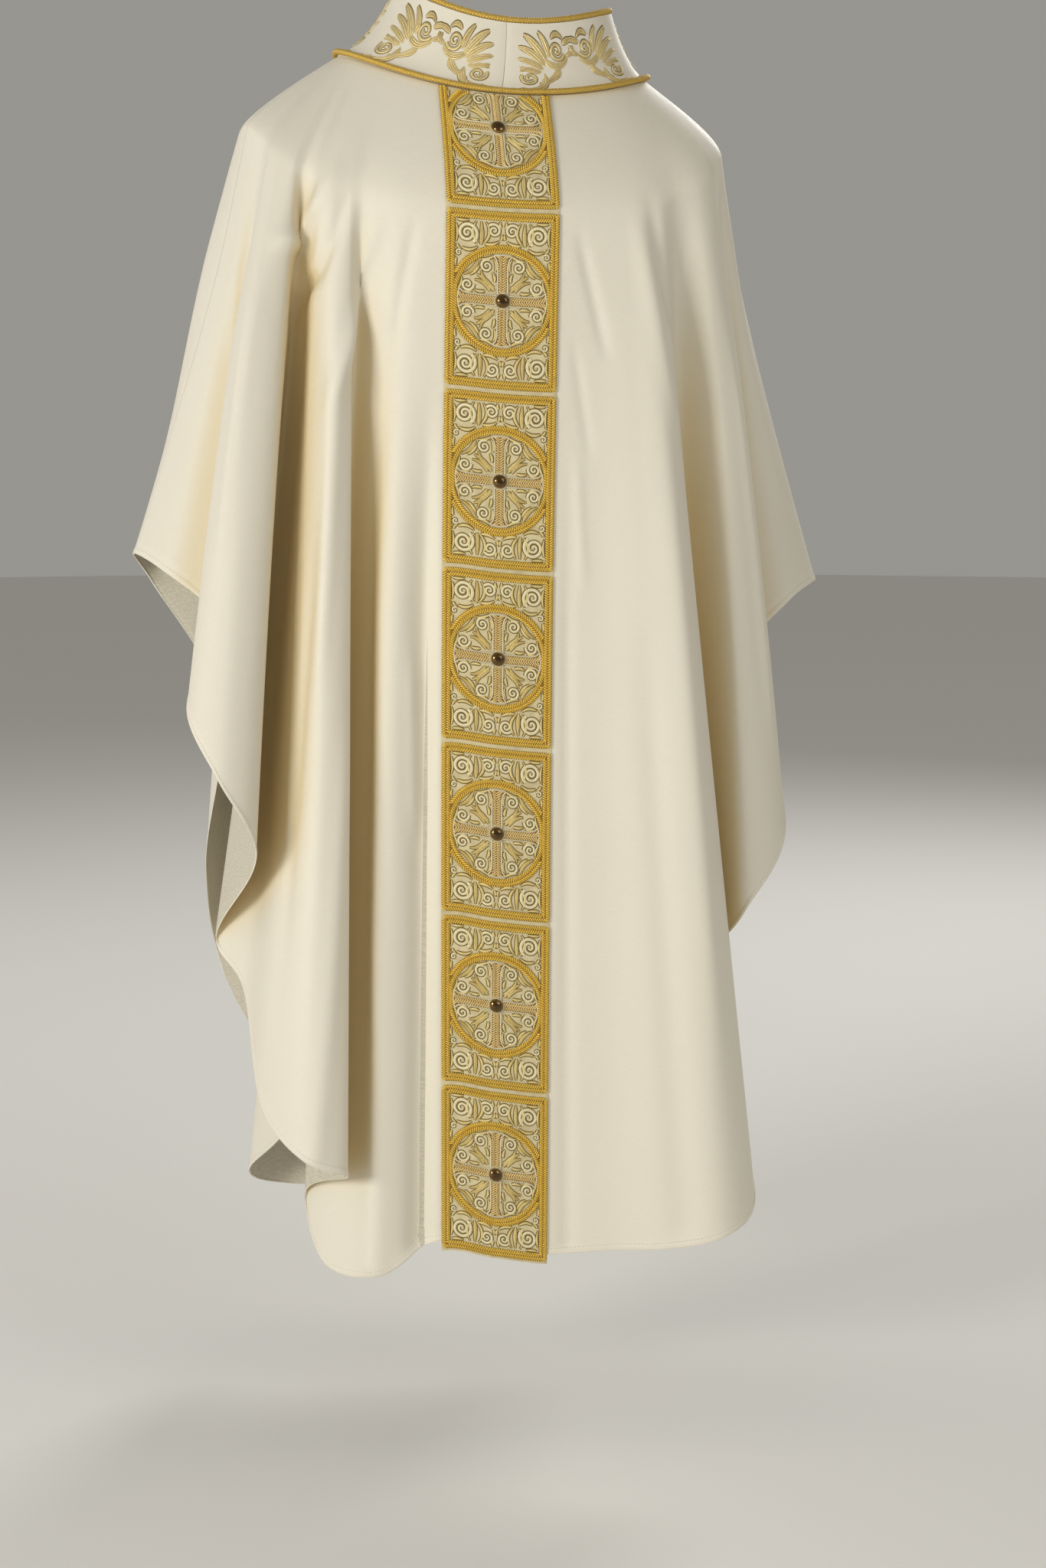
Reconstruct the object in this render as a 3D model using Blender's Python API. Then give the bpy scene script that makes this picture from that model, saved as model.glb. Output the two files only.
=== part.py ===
"""A worn chasuble, a wide poncho-cut vestment with a stand collar and a braided strip down its back.

The garment keeps the hollow form that it has when it is worn: it hangs from the shoulders, open at
the neck, under the arms and round the hem. Metres, +Z up, +X to the wearer's right, -Y to the back.
The origin is midway between the shoulders, level with the back of the collar seam.
"""
import math
from collections import namedtuple

import bmesh
import bpy
import numpy as np

# Cloth and seams
WALL = 0.002
SEAM_GAP = 0.0003
NECK_EASE = 0.0016

# Neck seam: half widths of its ring, its rise at the sides and its drop at the front
NECK_SHIFT = 0.007
NECK_WIDE = 0.176
NECK_BACK = 0.100
NECK_FRONT = 0.120
NECK_RISE = 0.035
NECK_DROP = 0.055
LEAN = 0.011

# Upper edge of the collar
TOP_SHIFT = 0.020
TOP_WIDE = 0.124
TOP_DEEP = 0.085
TOP_SIDE_Z = 0.108
TOP_BACK_Z = 0.077
TOP_FRONT_Z = 0.040
COLLAR_PULL = 0.55
COLLAR_WALL = 0.0025

# Shoulder ring, where the cloth turns from lying on the shoulders to hanging
YOKE_SHIFT = -0.006
YOKE_WIDE = 0.269
YOKE_BACK = 0.168
YOKE_FRONT = 0.160
YOKE_SQUARE = 0.6
YOKE_SIDE_Z = -0.022
YOKE_FALL_BACK = 0.078
YOKE_FALL_FRONT = 0.120
YOKE_FAN = 14.0

# Shares of a fold line's drop
SOFT_END = 0.15
ELBOW = 0.45

# Twisted cords on the collar's two edges
CORD_RADIUS = 0.0035
CORD_GAP = 0.0005

# Orphrey, the strip down the centre back, measured along the cloth
BAND_HALF = 0.063
BAND_WALL = 0.0012
BAND_LENGTH = 1.325
BAND_TOP = 0.0065
PANELS = 7
PANEL_PITCH = 0.196
PANEL_FOOT = 0.003
FRAME_HALF = 0.0622
FRAME_TALL = 0.191
BRAID = 0.0092
RING_OUTER = 0.0620
RING_INNER = 0.0505
GEM_DROP = 0.0955
CROSS_ARM = 0.048
CROSS_HALF = 0.0053
CROSS_FLARE = 0.0084
CROSS_NECK = 0.035
GEM_RADIUS = 0.0083
GEM_HEIGHT = 0.0046
TRIM_GAP = 0.0007
TRIM_WALL = 0.0012

# A fold line runs from the neck seam over the shoulder ring at an angle from the centre back
# (wearer's right positive), through a point at elbow height, to a point on the hem.
Fold = namedtuple("Fold", "name angle elbow_x elbow_y hem_x hem_y hem_z")

BACK_FOLDS = [
    Fold("left seam", -84, -0.318, -0.010, -0.405, 0.048, -0.513),
    Fold("left sleeve back", -77, -0.307, -0.035, -0.372, -0.020, -0.531),
    Fold("left sleeve valley", -70.5, -0.290, -0.045, -0.318, -0.036, -0.580),
    Fold("fold A outer edge", -66, -0.318, -0.150, -0.363, -0.190, -0.674),
    Fold("fold A crest", -61.5, -0.310, -0.198, -0.334, -0.232, -0.741),
    Fold("fold A inner edge", -57, -0.267, -0.188, -0.292, -0.210, -0.822),
    Fold("valley one floor", -53, -0.252, -0.080, -0.325, -0.066, -0.951),
    Fold("valley one flank", -50, -0.240, -0.096, -0.300, -0.100, -0.991),
    Fold("fold B outer edge", -47, -0.239, -0.160, -0.283, -0.170, -1.126),
    Fold("fold B crest", -43.5, -0.214, -0.207, -0.242, -0.222, -1.171),
    Fold("fold B inner edge", -39.5, -0.185, -0.190, -0.194, -0.205, -1.193),
    Fold("valley two floor", -35.5, -0.184, -0.104, -0.231, -0.112, -1.235),
    Fold("valley two flank", -31, -0.158, -0.130, -0.211, -0.130, -1.316),
    Fold("left body", -25.5, -0.130, -0.164, -0.155, -0.172, -1.320),
    Fold("band left", -15, -0.082, -0.166, -0.084, -0.165, -1.285),
    Fold("centre back", -2, -0.019, -0.170, -0.021, -0.168, -1.296),
    Fold("band right", 11, 0.044, -0.166, 0.042, -0.162, -1.308),
    Fold("right body", 20.5, 0.098, -0.168, 0.116, -0.170, -1.305),
    Fold("main panel", 28.5, 0.150, -0.180, 0.179, -0.190, -1.301),
    Fold("main panel crest", 34, 0.196, -0.184, 0.240, -0.200, -1.288),
    Fold("main panel edge", 38.5, 0.219, -0.148, 0.285, -0.165, -1.261),
    Fold("right valley", 46, 0.212, -0.062, 0.240, -0.056, -1.025),
    Fold("fold C crest", 56, 0.268, -0.102, 0.279, -0.128, -0.924),
    Fold("fold C edge", 63, 0.298, -0.072, 0.337, -0.090, -0.839),
    Fold("right sleeve valley", 70, 0.280, -0.016, 0.306, -0.016, -0.640),
    Fold("right sleeve back", 79, 0.304, -0.005, 0.360, -0.010, -0.574),
    Fold("right seam", 90, 0.315, 0.020, 0.409, 0.050, -0.554),
]

FRONT_FOLDS = [
    Fold("right sleeve front", 101, 0.306, 0.070, 0.372, 0.115, -0.590),
    Fold("right front valley", 112, 0.266, 0.088, 0.300, 0.105, -0.700),
    Fold("right front fold edge", 120, 0.272, 0.145, 0.318, 0.190, -0.850),
    Fold("right front fold crest", 127, 0.235, 0.175, 0.268, 0.238, -0.960),
    Fold("right front hollow", 136, 0.188, 0.140, 0.222, 0.165, -1.080),
    Fold("right front roll", 146, 0.170, 0.190, 0.200, 0.240, -1.250),
    Fold("right chest", 160, 0.092, 0.180, 0.100, 0.206, -1.300),
    Fold("centre front", 180, -0.006, 0.192, -0.016, 0.216, -1.305),
    Fold("left chest", 200, -0.104, 0.180, -0.130, 0.208, -1.315),
    Fold("left front roll", 213, -0.180, 0.192, -0.215, 0.244, -1.322),
    Fold("left front roll edge", 221, -0.200, 0.164, -0.268, 0.190, -1.290),
    Fold("left front hollow", 228, -0.194, 0.108, -0.224, 0.112, -1.200),
    Fold("left front fold crest", 236, -0.250, 0.165, -0.298, 0.208, -1.030),
    Fold("left front fold edge", 243, -0.284, 0.125, -0.318, 0.158, -0.900),
    Fold("left front valley", 250, -0.272, 0.075, -0.304, 0.090, -0.690),
    Fold("left sleeve front", 261, -0.341, 0.050, -0.381, 0.106, -0.550),
]

FOLDS = BACK_FOLDS + FRONT_FOLDS
RIGHT_SEAM = len(BACK_FOLDS) - 1
CENTRE_BACK = [fold.name for fold in BACK_FOLDS].index("centre back")

# Facets between two fold lines, and along the three stretches of a fold line
BACK_STEPS = 4
FRONT_STEPS = 4
STRETCH_STEPS = (5, 3, 5)
STRETCH_ENDS = (0.0, 0.28, 0.55, 1.0)


def blend(start, end, share):
    """Point at a share of the way from start to end."""
    return start + (end - start) * share


def quadratic(start, corner, end, share):
    """Point on the parabola that rounds a corner."""
    return blend(blend(start, corner, share), blend(corner, end, share), share)


def neck_point(angle):
    """Point of the neck seam at an angle from the centre back, in degrees."""
    side = math.sin(math.radians(angle))
    back = math.cos(math.radians(angle))
    deep = NECK_BACK if back > 0 else NECK_FRONT
    drop = NECK_DROP * min(back, 0.0) ** 2
    rise = NECK_RISE * side ** 2
    return np.array([NECK_SHIFT * abs(side) + NECK_WIDE * side, -deep * back, rise - drop - LEAN * side])


def top_point(angle):
    """Point of the collar's upper edge at an angle from the centre back."""
    side = math.sin(math.radians(angle))
    back = math.cos(math.radians(angle))
    level = TOP_BACK_Z if back > 0 else TOP_FRONT_Z
    height = TOP_SIDE_Z * side ** 2 + level * back ** 2
    shift = 0.009 + (TOP_SHIFT - 0.009) * side ** 2
    return np.array([shift + TOP_WIDE * side, -TOP_DEEP * back, height - LEAN * side])


def yoke_point(angle):
    """Corner of the shoulder ring that the cloth turns round at an angle from the centre back."""
    side = math.sin(math.radians(angle))
    back = math.cos(math.radians(angle))
    deep = YOKE_BACK if back > 0 else -YOKE_FRONT
    fall = YOKE_FALL_BACK if back > 0 else YOKE_FALL_FRONT
    return np.array([
        YOKE_SHIFT * abs(side) + YOKE_WIDE * side,
        -deep * abs(back) ** YOKE_SQUARE,
        YOKE_SIDE_Z - fall * abs(back) - LEAN * side,
    ])


def fold_point(fold, share):
    """Point of a fold line, from the neck seam at share 0 to the hem at share 1."""
    fan = fold.angle + YOKE_FAN * math.sin(math.radians(2 * fold.angle))
    neck = neck_point(fan)
    yoke = yoke_point(fold.angle)
    hem = np.array([fold.hem_x, fold.hem_y, fold.hem_z])
    elbow = np.array([fold.elbow_x, fold.elbow_y, yoke[2] + ELBOW * (hem[2] - yoke[2])])
    soft = blend(yoke, elbow, SOFT_END)
    upper = blend(yoke, soft, 0.5)
    lower = blend(soft, elbow, 0.5)
    _, first, second, last = STRETCH_ENDS
    if share < first:
        return quadratic(neck, yoke, upper, share / first)
    if share < second:
        return blend(upper, lower, (share - first) / (second - first))
    return quadratic(lower, elbow, hem, (share - second) / (last - second))


def stretch_levels():
    """Shares down the fold lines at which the cloth has a row of points."""
    levels = [0.0]
    for steps, start, end in zip(STRETCH_STEPS, STRETCH_ENDS, STRETCH_ENDS[1:]):
        levels += [blend(start, end, (step + 1) / steps) for step in range(steps)]
    return levels


def curve_point(p0, p1, p2, p3, share):
    """Centripetal Catmull-Rom curve from p1 to p2."""
    knots = [0.0]
    for start, end in ((p0, p1), (p1, p2), (p2, p3)):
        knots.append(knots[-1] + max(np.linalg.norm(end - start), 1e-6) ** 0.5)
    k0, k1, k2, k3 = knots
    k = blend(k1, k2, share)
    a1 = blend(p0, p1, (k - k0) / (k1 - k0))
    a2 = blend(p1, p2, (k - k1) / (k2 - k1))
    a3 = blend(p2, p3, (k - k2) / (k3 - k2))
    b1 = blend(a1, a2, (k - k0) / (k2 - k0))
    b2 = blend(a2, a3, (k - k1) / (k3 - k1))
    return blend(b1, b2, (k - k1) / (k2 - k1))


def section(share, first, last, steps):
    """Points round the cloth at one level, from one fold line to another, in equal steps."""
    count = len(FOLDS)
    line = {}
    for index in range(first - 1, last + 2):
        line[index] = fold_point(FOLDS[index % count], share)
    points = []
    for index in range(first, last):
        for step in range(steps):
            points.append(curve_point(line[index - 1], line[index], line[index + 1], line[index + 2],
                                      step / steps))
    points.append(line[last])
    return np.array(points)


def outward_normals(grid):
    """Unit normals of a grid of points whose rows run down and columns run to the wearer's right."""
    faces = np.cross(grid[1:, :-1] - grid[:-1, 1:], grid[1:, 1:] - grid[:-1, :-1])
    faces /= np.linalg.norm(faces, axis=2, keepdims=True)
    faces = np.pad(faces, ((1, 1), (1, 1), (0, 0)), mode="edge")
    normals = faces[:-1, :-1] + faces[1:, :-1] + faces[:-1, 1:] + faces[1:, 1:]
    return normals / np.linalg.norm(normals, axis=2, keepdims=True)


def open_seams(grid):
    """Draw the two side edges of a panel back from their seams and the neck edge by its ease."""
    grid = grid.copy()
    for edge, inside in ((0, 1), (-1, -2)):
        way = grid[:, inside] - grid[:, edge]
        grid[:, edge] += way / np.linalg.norm(way, axis=1, keepdims=True) * SEAM_GAP
    way = grid[1] - grid[0]
    grid[0] += way / np.linalg.norm(way, axis=1, keepdims=True) * NECK_EASE
    return grid


def new_object(name, bm, material):
    """Turn a bmesh into a named object with smooth faces and one material."""
    bmesh.ops.recalc_face_normals(bm, faces=bm.faces)
    mesh = bpy.data.meshes.new(name)
    bm.to_mesh(mesh)
    bm.free()
    mesh.shade_smooth()
    mesh.set_sharp_from_angle(angle=math.radians(50))
    mesh.materials.append(material)
    obj = bpy.data.objects.new(name, mesh)
    bpy.context.scene.collection.objects.link(obj)
    return obj


def wall_between(name, outer, inner, material):
    """Closed wall between two grids of points of the same shape."""
    rows, columns = outer.shape[:2]
    bm = bmesh.new()
    skins = []
    for grid in (outer, inner):
        skins.append([[bm.verts.new(grid[row, column]) for column in range(columns)] for row in range(rows)])
    for row in range(rows - 1):
        for column in range(columns - 1):
            for skin in skins:
                bm.faces.new((skin[row][column], skin[row][column + 1],
                              skin[row + 1][column + 1], skin[row + 1][column]))
    rim = [(0, column) for column in range(columns)]
    rim += [(row, columns - 1) for row in range(1, rows)]
    rim += [(rows - 1, column) for column in range(columns - 2, -1, -1)]
    rim += [(row, 0) for row in range(rows - 2, 0, -1)]
    for (row_a, column_a), (row_b, column_b) in zip(rim, rim[1:] + rim[:1]):
        bm.faces.new((skins[0][row_a][column_a], skins[0][row_b][column_b],
                      skins[1][row_b][column_b], skins[1][row_a][column_a]))
    return new_object(name, bm, material)


def make_panel(name, first, last, steps, material):
    """One cloth panel of the poncho. Its normals are taken across its seams, so both walls meet square."""
    wide = np.array([section(share, first - 1, last + 1, steps) for share in stretch_levels()])
    normals = outward_normals(wide)[:, steps:-steps]
    grid = open_seams(wide[:, steps:-steps])
    return wall_between(name, grid, grid - normals * WALL, material)


def collar_point(angle, share):
    """Point of the collar's outside, from the neck seam at share 0 to its upper edge at share 1."""
    neck = neck_point(angle)
    top = top_point(angle)
    pull = np.array([top[0], top[1], neck[2]])
    corner = blend(blend(neck, top, 0.5), blend(neck, pull, 0.7), COLLAR_PULL)
    return quadratic(neck, corner, top, share)


def make_collar_half(name, start, end, material, columns=18, rows=5):
    """Half of the stand collar, between its centre-back and centre-front seams."""
    lift = np.array([0.0, 0.0, SEAM_GAP + 0.0006])
    grid = np.array([[collar_point(blend(start, end, column / columns), 1 - row / rows) + lift
                      for column in range(columns + 1)] for row in range(rows + 1)])
    for edge, inside in ((0, 1), (-1, -2)):
        way = grid[:, inside] - grid[:, edge]
        grid[:, edge] += way / np.linalg.norm(way, axis=1, keepdims=True) * SEAM_GAP
    return wall_between(name, grid, grid - outward_normals(grid) * COLLAR_WALL, material)


def make_cord(name, centre, material, segments=48, sides=6):
    """Round cord along a closed loop of centre points given by an angle."""
    path = np.array([centre(360 * index / segments) for index in range(segments)])
    bm = bmesh.new()
    loops = []
    for index in range(segments):
        along = path[(index + 1) % segments] - path[index - 1]
        along /= np.linalg.norm(along)
        out = np.cross(along, (0.0, 0.0, 1.0))
        out /= np.linalg.norm(out)
        up = np.cross(out, along)
        turns = [2 * math.pi * side / sides for side in range(sides)]
        loops.append([bm.verts.new(path[index] + CORD_RADIUS * (math.cos(turn) * out + math.sin(turn) * up))
                      for turn in turns])
    for index in range(segments):
        here, there = loops[index], loops[(index + 1) % segments]
        for side in range(sides):
            after = (side + 1) % sides
            bm.faces.new((here[side], here[after], there[after], there[side]))
    return new_object(name, bm, material)


def base_cord_centre(angle):
    """Centre of the cord that covers the neck seam, in the corner between collar and panels."""
    neck = neck_point(angle)
    step = 1.0
    along = neck_point(angle + step) - neck_point(angle - step)
    rise = collar_point(angle, 0.12) - neck
    spread = yoke_point(angle) - neck
    outs = []
    for way in (rise, -spread):
        out = np.cross(along, way)
        outs.append(out / np.linalg.norm(out))
    out = outs[0] + outs[1]
    squeeze = 2 / np.linalg.norm(out)
    return neck + out / np.linalg.norm(out) * (CORD_RADIUS + 3 * CORD_GAP) * squeeze


def top_cord_centre(angle):
    """Centre of the cord that sits on the collar's upper edge."""
    top = collar_point(angle, 1.0)
    below = collar_point(angle, 0.85)
    rise = (top - below) / np.linalg.norm(top - below)
    inward = np.array([-math.sin(math.radians(angle)), math.cos(math.radians(angle)), 0.0])
    return top + rise * (CORD_RADIUS + 2 * CORD_GAP) + inward * COLLAR_WALL / 2


class Strip:
    """The cloth down the centre back, addressed by distance across it and down it."""

    DOWN_STEP = 0.01
    ACROSS_STEP = 0.0105
    FINE = 12
    REACH = 2

    def __init__(self):
        centre = FOLDS[CENTRE_BACK]
        shares = np.linspace(0.0, 1.05, 421)
        line = np.array([fold_point(centre, share) for share in shares])
        run = np.concatenate(([0.0], np.cumsum(np.linalg.norm(np.diff(line, axis=0), axis=1))))
        self.levels = np.interp(stretch_levels(), shares, run)
        half = int(round(BAND_HALF / self.ACROSS_STEP))
        self.down = np.arange(0.0, BAND_LENGTH + 2 * self.DOWN_STEP, self.DOWN_STEP)
        self.across = np.arange(-half, half + 1) * self.ACROSS_STEP
        rows = []
        for share in np.interp(self.down, run, shares):
            curve = section(share, CENTRE_BACK - self.REACH, CENTRE_BACK + self.REACH, self.FINE)
            length = np.concatenate(([0.0], np.cumsum(np.linalg.norm(np.diff(curve, axis=0), axis=1))))
            length -= length[self.REACH * self.FINE]
            rows.append(np.stack([np.interp(self.across, length, curve[:, axis]) for axis in range(3)], axis=1))
        self.grid = np.array(rows)
        self.normals = outward_normals(self.grid)

    def point(self, across, down, lift):
        """Point on the strip, lifted off the cloth."""
        column = (across - self.across[0]) / self.ACROSS_STEP
        row = down / self.DOWN_STEP
        column_a = int(min(max(math.floor(column), 0), len(self.across) - 2))
        row_a = int(min(max(math.floor(row), 0), len(self.down) - 2))
        result = np.zeros(3)
        for row_b, row_share in ((row_a, 1 - (row - row_a)), (row_a + 1, row - row_a)):
            for column_b, share in ((column_a, 1 - (column - column_a)), (column_a + 1, column - column_a)):
                spot = self.grid[row_b, column_b] + self.normals[row_b, column_b] * lift
                result += row_share * share * spot
        return result


def make_plate(name, strip, spots, faces, lift, thickness, material):
    """Thin plate on the strip, from spots (across, down) and faces that list them."""
    bm = bmesh.new()
    under = [bm.verts.new(strip.point(across, down, lift)) for across, down in spots]
    over = [bm.verts.new(strip.point(across, down, lift + thickness)) for across, down in spots]
    edges = {}
    for face in faces:
        bm.faces.new([over[index] for index in face])
        bm.faces.new([under[index] for index in face])
        for start, end in zip(face, face[1:] + face[:1]):
            key = (min(start, end), max(start, end))
            edges[key] = edges.get(key, 0) + 1
    for (start, end), uses in edges.items():
        if uses == 1:
            bm.faces.new((over[start], over[end], under[end], under[start]))
    return new_object(name, bm, material)


def make_band(strip, material, columns=6):
    """The orphrey's ground cloth. Its rows lie on the panel's own, so the two stay parallel."""
    rows = [BAND_TOP] + [level for level in strip.levels[:-1] if level > 2 * BAND_TOP] + [BAND_LENGTH]
    spots = []
    for down in rows:
        spots += [(blend(-BAND_HALF, BAND_HALF, column / columns), down) for column in range(columns + 1)]
    faces = []
    wide = columns + 1
    for row in range(len(rows) - 1):
        for column in range(columns):
            start = row * wide + column
            faces.append([start, start + 1, start + wide + 1, start + wide])
    return make_plate("orphrey_band", strip, spots, faces, SEAM_GAP, BAND_WALL, material)


def ribbon(outer, inner, closed):
    """Spots and faces of a strip of quads between two lines of spots."""
    count = len(outer)
    spots = list(outer) + list(inner)
    faces = []
    for index in range(count if closed else count - 1):
        after = (index + 1) % count
        faces.append([index, after, count + after, count + index])
    return spots, faces


def frame_outline(half, top, bottom, side_steps, end_steps):
    """Spots round a rectangle, from its upper left corner down, across, up and back."""
    spots = [(-half, blend(top, bottom, step / side_steps)) for step in range(side_steps)]
    spots += [(blend(-half, half, step / end_steps), bottom) for step in range(end_steps)]
    spots += [(half, blend(bottom, top, step / side_steps)) for step in range(side_steps)]
    spots += [(blend(half, -half, step / end_steps), top) for step in range(end_steps)]
    return spots


def make_frame(number, strip, top, bottom, material, side_steps=8, end_steps=4):
    """Braid round one panel. The neck seam cuts the first one off at its top."""
    inner_half = FRAME_HALF - BRAID
    if number == 1:
        outer = frame_outline(FRAME_HALF, BAND_TOP, bottom, side_steps, end_steps)
        inner = frame_outline(inner_half, BAND_TOP, bottom - BRAID, side_steps, end_steps)
        drawn = 2 * side_steps + end_steps + 1
        spots, faces = ribbon(outer[:drawn], inner[:drawn], False)
    else:
        outer = frame_outline(FRAME_HALF, top, bottom, side_steps, end_steps)
        inner = frame_outline(inner_half, top + BRAID, bottom - BRAID, side_steps, end_steps)
        spots, faces = ribbon(outer, inner, True)
    lift = SEAM_GAP + BAND_WALL + TRIM_GAP
    return make_plate("frame_%d" % number, strip, spots, faces, lift, TRIM_WALL, material)


def make_ring(number, strip, middle, material, steps=24):
    """Round of braid inside one frame, trimmed where it meets the frame and the neck seam."""
    limit = FRAME_HALF - BRAID - SEAM_GAP
    cut = BAND_TOP
    start, end = 0.0, 2 * math.pi
    closed = middle - RING_OUTER > cut
    if not closed:
        start = math.acos((middle - cut) / RING_OUTER)
        end = 2 * math.pi - start
    count = steps if closed else steps + 1
    outer, inner = [], []
    for index in range(count):
        turn = blend(start, end, index / steps)
        for radius, line in ((RING_OUTER, outer), (RING_INNER, inner)):
            across = max(-limit, min(limit, radius * math.sin(turn)))
            line.append((across, max(cut, middle - radius * math.cos(turn))))
    spots, faces = ribbon(outer, inner, closed)
    lift = SEAM_GAP + BAND_WALL + TRIM_GAP
    return make_plate("ring_%d" % number, strip, spots, faces, lift, TRIM_WALL, material)


def make_cross(number, strip, middle, material):
    """Equal-armed cross with flared ends. The neck seam cuts the first one's upper arm short."""
    spots = [(-CROSS_HALF, -CROSS_HALF), (CROSS_HALF, -CROSS_HALF),
             (CROSS_HALF, CROSS_HALF), (-CROSS_HALF, CROSS_HALF)]
    faces = [[0, 1, 2, 3]]
    reaches = ((0.020, CROSS_HALF), (CROSS_NECK, CROSS_HALF), (CROSS_ARM, CROSS_FLARE))
    for quarter in range(4):
        turn = quarter * math.pi / 2
        cos, sin = round(math.cos(turn)), round(math.sin(turn))
        last = [quarter, (quarter + 1) % 4]
        for reach, half in reaches:
            first = len(spots)
            for side in (-half, half):
                spots.append((side * cos + reach * sin, side * sin - reach * cos))
            faces.append([last[0], first, first + 1, last[1]])
            last = [first, first + 1]
    room = BAND_TOP + 0.001 - middle
    spots = [(across, middle + max(down, room if abs(down) > CROSS_ARM - 0.001 and down < 0 else down))
             for across, down in spots]
    if middle - CROSS_NECK < BAND_TOP:
        spots, faces = short_cross(spots, faces, middle)
    lift = SEAM_GAP + BAND_WALL + TRIM_GAP
    return make_plate("cross_%d" % number, strip, spots, faces, lift, TRIM_WALL, material)


def short_cross(spots, faces, middle):
    """Leave out what lies above the neck seam."""
    keep = [face for face in faces if min(spots[index][1] for index in face) > BAND_TOP]
    used = sorted({index for face in keep for index in face})
    place = {index: position for position, index in enumerate(used)}
    return [spots[index] for index in used], [[place[index] for index in face] for face in keep]


def make_gem(number, strip, middle, material, sides=12):
    """Round stone at the middle of a cross, a low dome on a flat base."""
    base = SEAM_GAP + BAND_WALL + TRIM_GAP + TRIM_WALL + SEAM_GAP
    bm = bmesh.new()
    levels = ((1.0, 0.0), (1.0, 0.28), (0.78, 0.72), (0.40, 0.95))
    loops = []
    for radius, height in levels:
        loop = []
        for side in range(sides):
            turn = 2 * math.pi * side / sides
            across = GEM_RADIUS * radius * math.sin(turn)
            down = middle + GEM_RADIUS * radius * math.cos(turn)
            loop.append(bm.verts.new(strip.point(across, down, base + GEM_HEIGHT * height)))
        loops.append(loop)
    for lower, upper in zip(loops, loops[1:]):
        for side in range(sides):
            after = (side + 1) % sides
            bm.faces.new((lower[side], lower[after], upper[after], upper[side]))
    foot = bm.verts.new(strip.point(0.0, middle, base))
    crown = bm.verts.new(strip.point(0.0, middle, base + GEM_HEIGHT))
    for side in range(sides):
        after = (side + 1) % sides
        bm.faces.new((foot, loops[0][after], loops[0][side]))
        bm.faces.new((crown, loops[-1][side], loops[-1][after]))
    return new_object("gem_%d" % number, bm, material)


def make_material(name, colour, roughness, metallic):
    """Principled material in one finish."""
    material = bpy.data.materials.new(name)
    material.use_nodes = True
    shader = material.node_tree.nodes["Principled BSDF"]
    shader.inputs["Base Color"].default_value = (*colour, 1.0)
    shader.inputs["Roughness"].default_value = roughness
    shader.inputs["Metallic"].default_value = metallic
    material.diffuse_color = (*colour, 1.0)
    return material


def make_materials():
    """The garment's finishes."""
    return {
        "cloth": make_material("cream cloth", (0.80, 0.76, 0.66), 0.62, 0.0),
        "collar": make_material("embroidered collar cloth", (0.78, 0.71, 0.55), 0.66, 0.0),
        "ground": make_material("orphrey ground cloth", (0.79, 0.73, 0.58), 0.66, 0.0),
        "braid": make_material("gold braid", (0.62, 0.40, 0.07), 0.42, 0.35),
        "cord": make_material("twisted gold cord", (0.58, 0.40, 0.12), 0.45, 0.35),
        "cross": make_material("gold and cream stitching", (0.66, 0.52, 0.25), 0.55, 0.2),
        "gem": make_material("amber stone", (0.30, 0.17, 0.03), 0.08, 0.0),
    }


def main():
    """Clear the scene and build every piece of the garment."""
    for obj in list(bpy.data.objects):
        bpy.data.objects.remove(obj, do_unlink=True)
    finish = make_materials()
    make_panel("back", 0, RIGHT_SEAM, BACK_STEPS, finish["cloth"])
    make_panel("front", RIGHT_SEAM, len(FOLDS), FRONT_STEPS, finish["cloth"])
    make_collar_half("collar_left", -180, 0, finish["collar"])
    make_collar_half("collar_right", 0, 180, finish["collar"])
    make_cord("cord_base", base_cord_centre, finish["cord"])
    make_cord("cord_top", top_cord_centre, finish["cord"])
    strip = Strip()
    make_band(strip, finish["ground"])
    for number in range(1, PANELS + 1):
        bottom = BAND_LENGTH - PANEL_FOOT - (PANELS - number) * PANEL_PITCH
        middle = bottom - GEM_DROP
        make_frame(number, strip, bottom - FRAME_TALL, bottom, finish["braid"])
        make_ring(number, strip, middle, finish["braid"])
        make_cross(number, strip, middle, finish["cross"])
        make_gem(number, strip, middle, finish["gem"])


main()
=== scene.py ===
"""Dress a worn chasuble: creased cloth, embroidered collar and orphrey, braid, cords and stones.

Metres, +Z up, +X to the wearer's right, -Y to the back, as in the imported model. The cloth and the
trim follow the same fold lines as the solids, with many more points.
"""
import math
from collections import namedtuple

import bpy
import numpy as np
from bpy.props import FloatProperty, FloatVectorProperty, IntProperty, PointerProperty
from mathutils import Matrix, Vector


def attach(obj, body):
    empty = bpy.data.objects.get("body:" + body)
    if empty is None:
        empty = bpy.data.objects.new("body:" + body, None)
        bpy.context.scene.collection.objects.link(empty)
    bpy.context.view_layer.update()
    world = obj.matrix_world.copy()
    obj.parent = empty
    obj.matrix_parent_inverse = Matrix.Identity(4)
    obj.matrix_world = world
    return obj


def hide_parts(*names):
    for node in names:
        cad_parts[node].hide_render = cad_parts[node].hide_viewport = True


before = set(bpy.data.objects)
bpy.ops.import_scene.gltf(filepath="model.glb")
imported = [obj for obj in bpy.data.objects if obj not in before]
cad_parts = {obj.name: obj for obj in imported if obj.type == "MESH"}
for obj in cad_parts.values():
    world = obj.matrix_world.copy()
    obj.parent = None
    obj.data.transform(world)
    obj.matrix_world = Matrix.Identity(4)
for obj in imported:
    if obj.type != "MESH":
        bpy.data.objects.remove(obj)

bl_info = {
    "name": "Worn chasuble",
    "version": (1, 0, 0),
    "blender": (4, 5, 0),
    "location": "3D View > Sidebar > Chasuble",
    "description": "Dresses the packed chasuble in cloth, embroidery, braid, cord and stones",
    "category": "Object",
}

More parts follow.
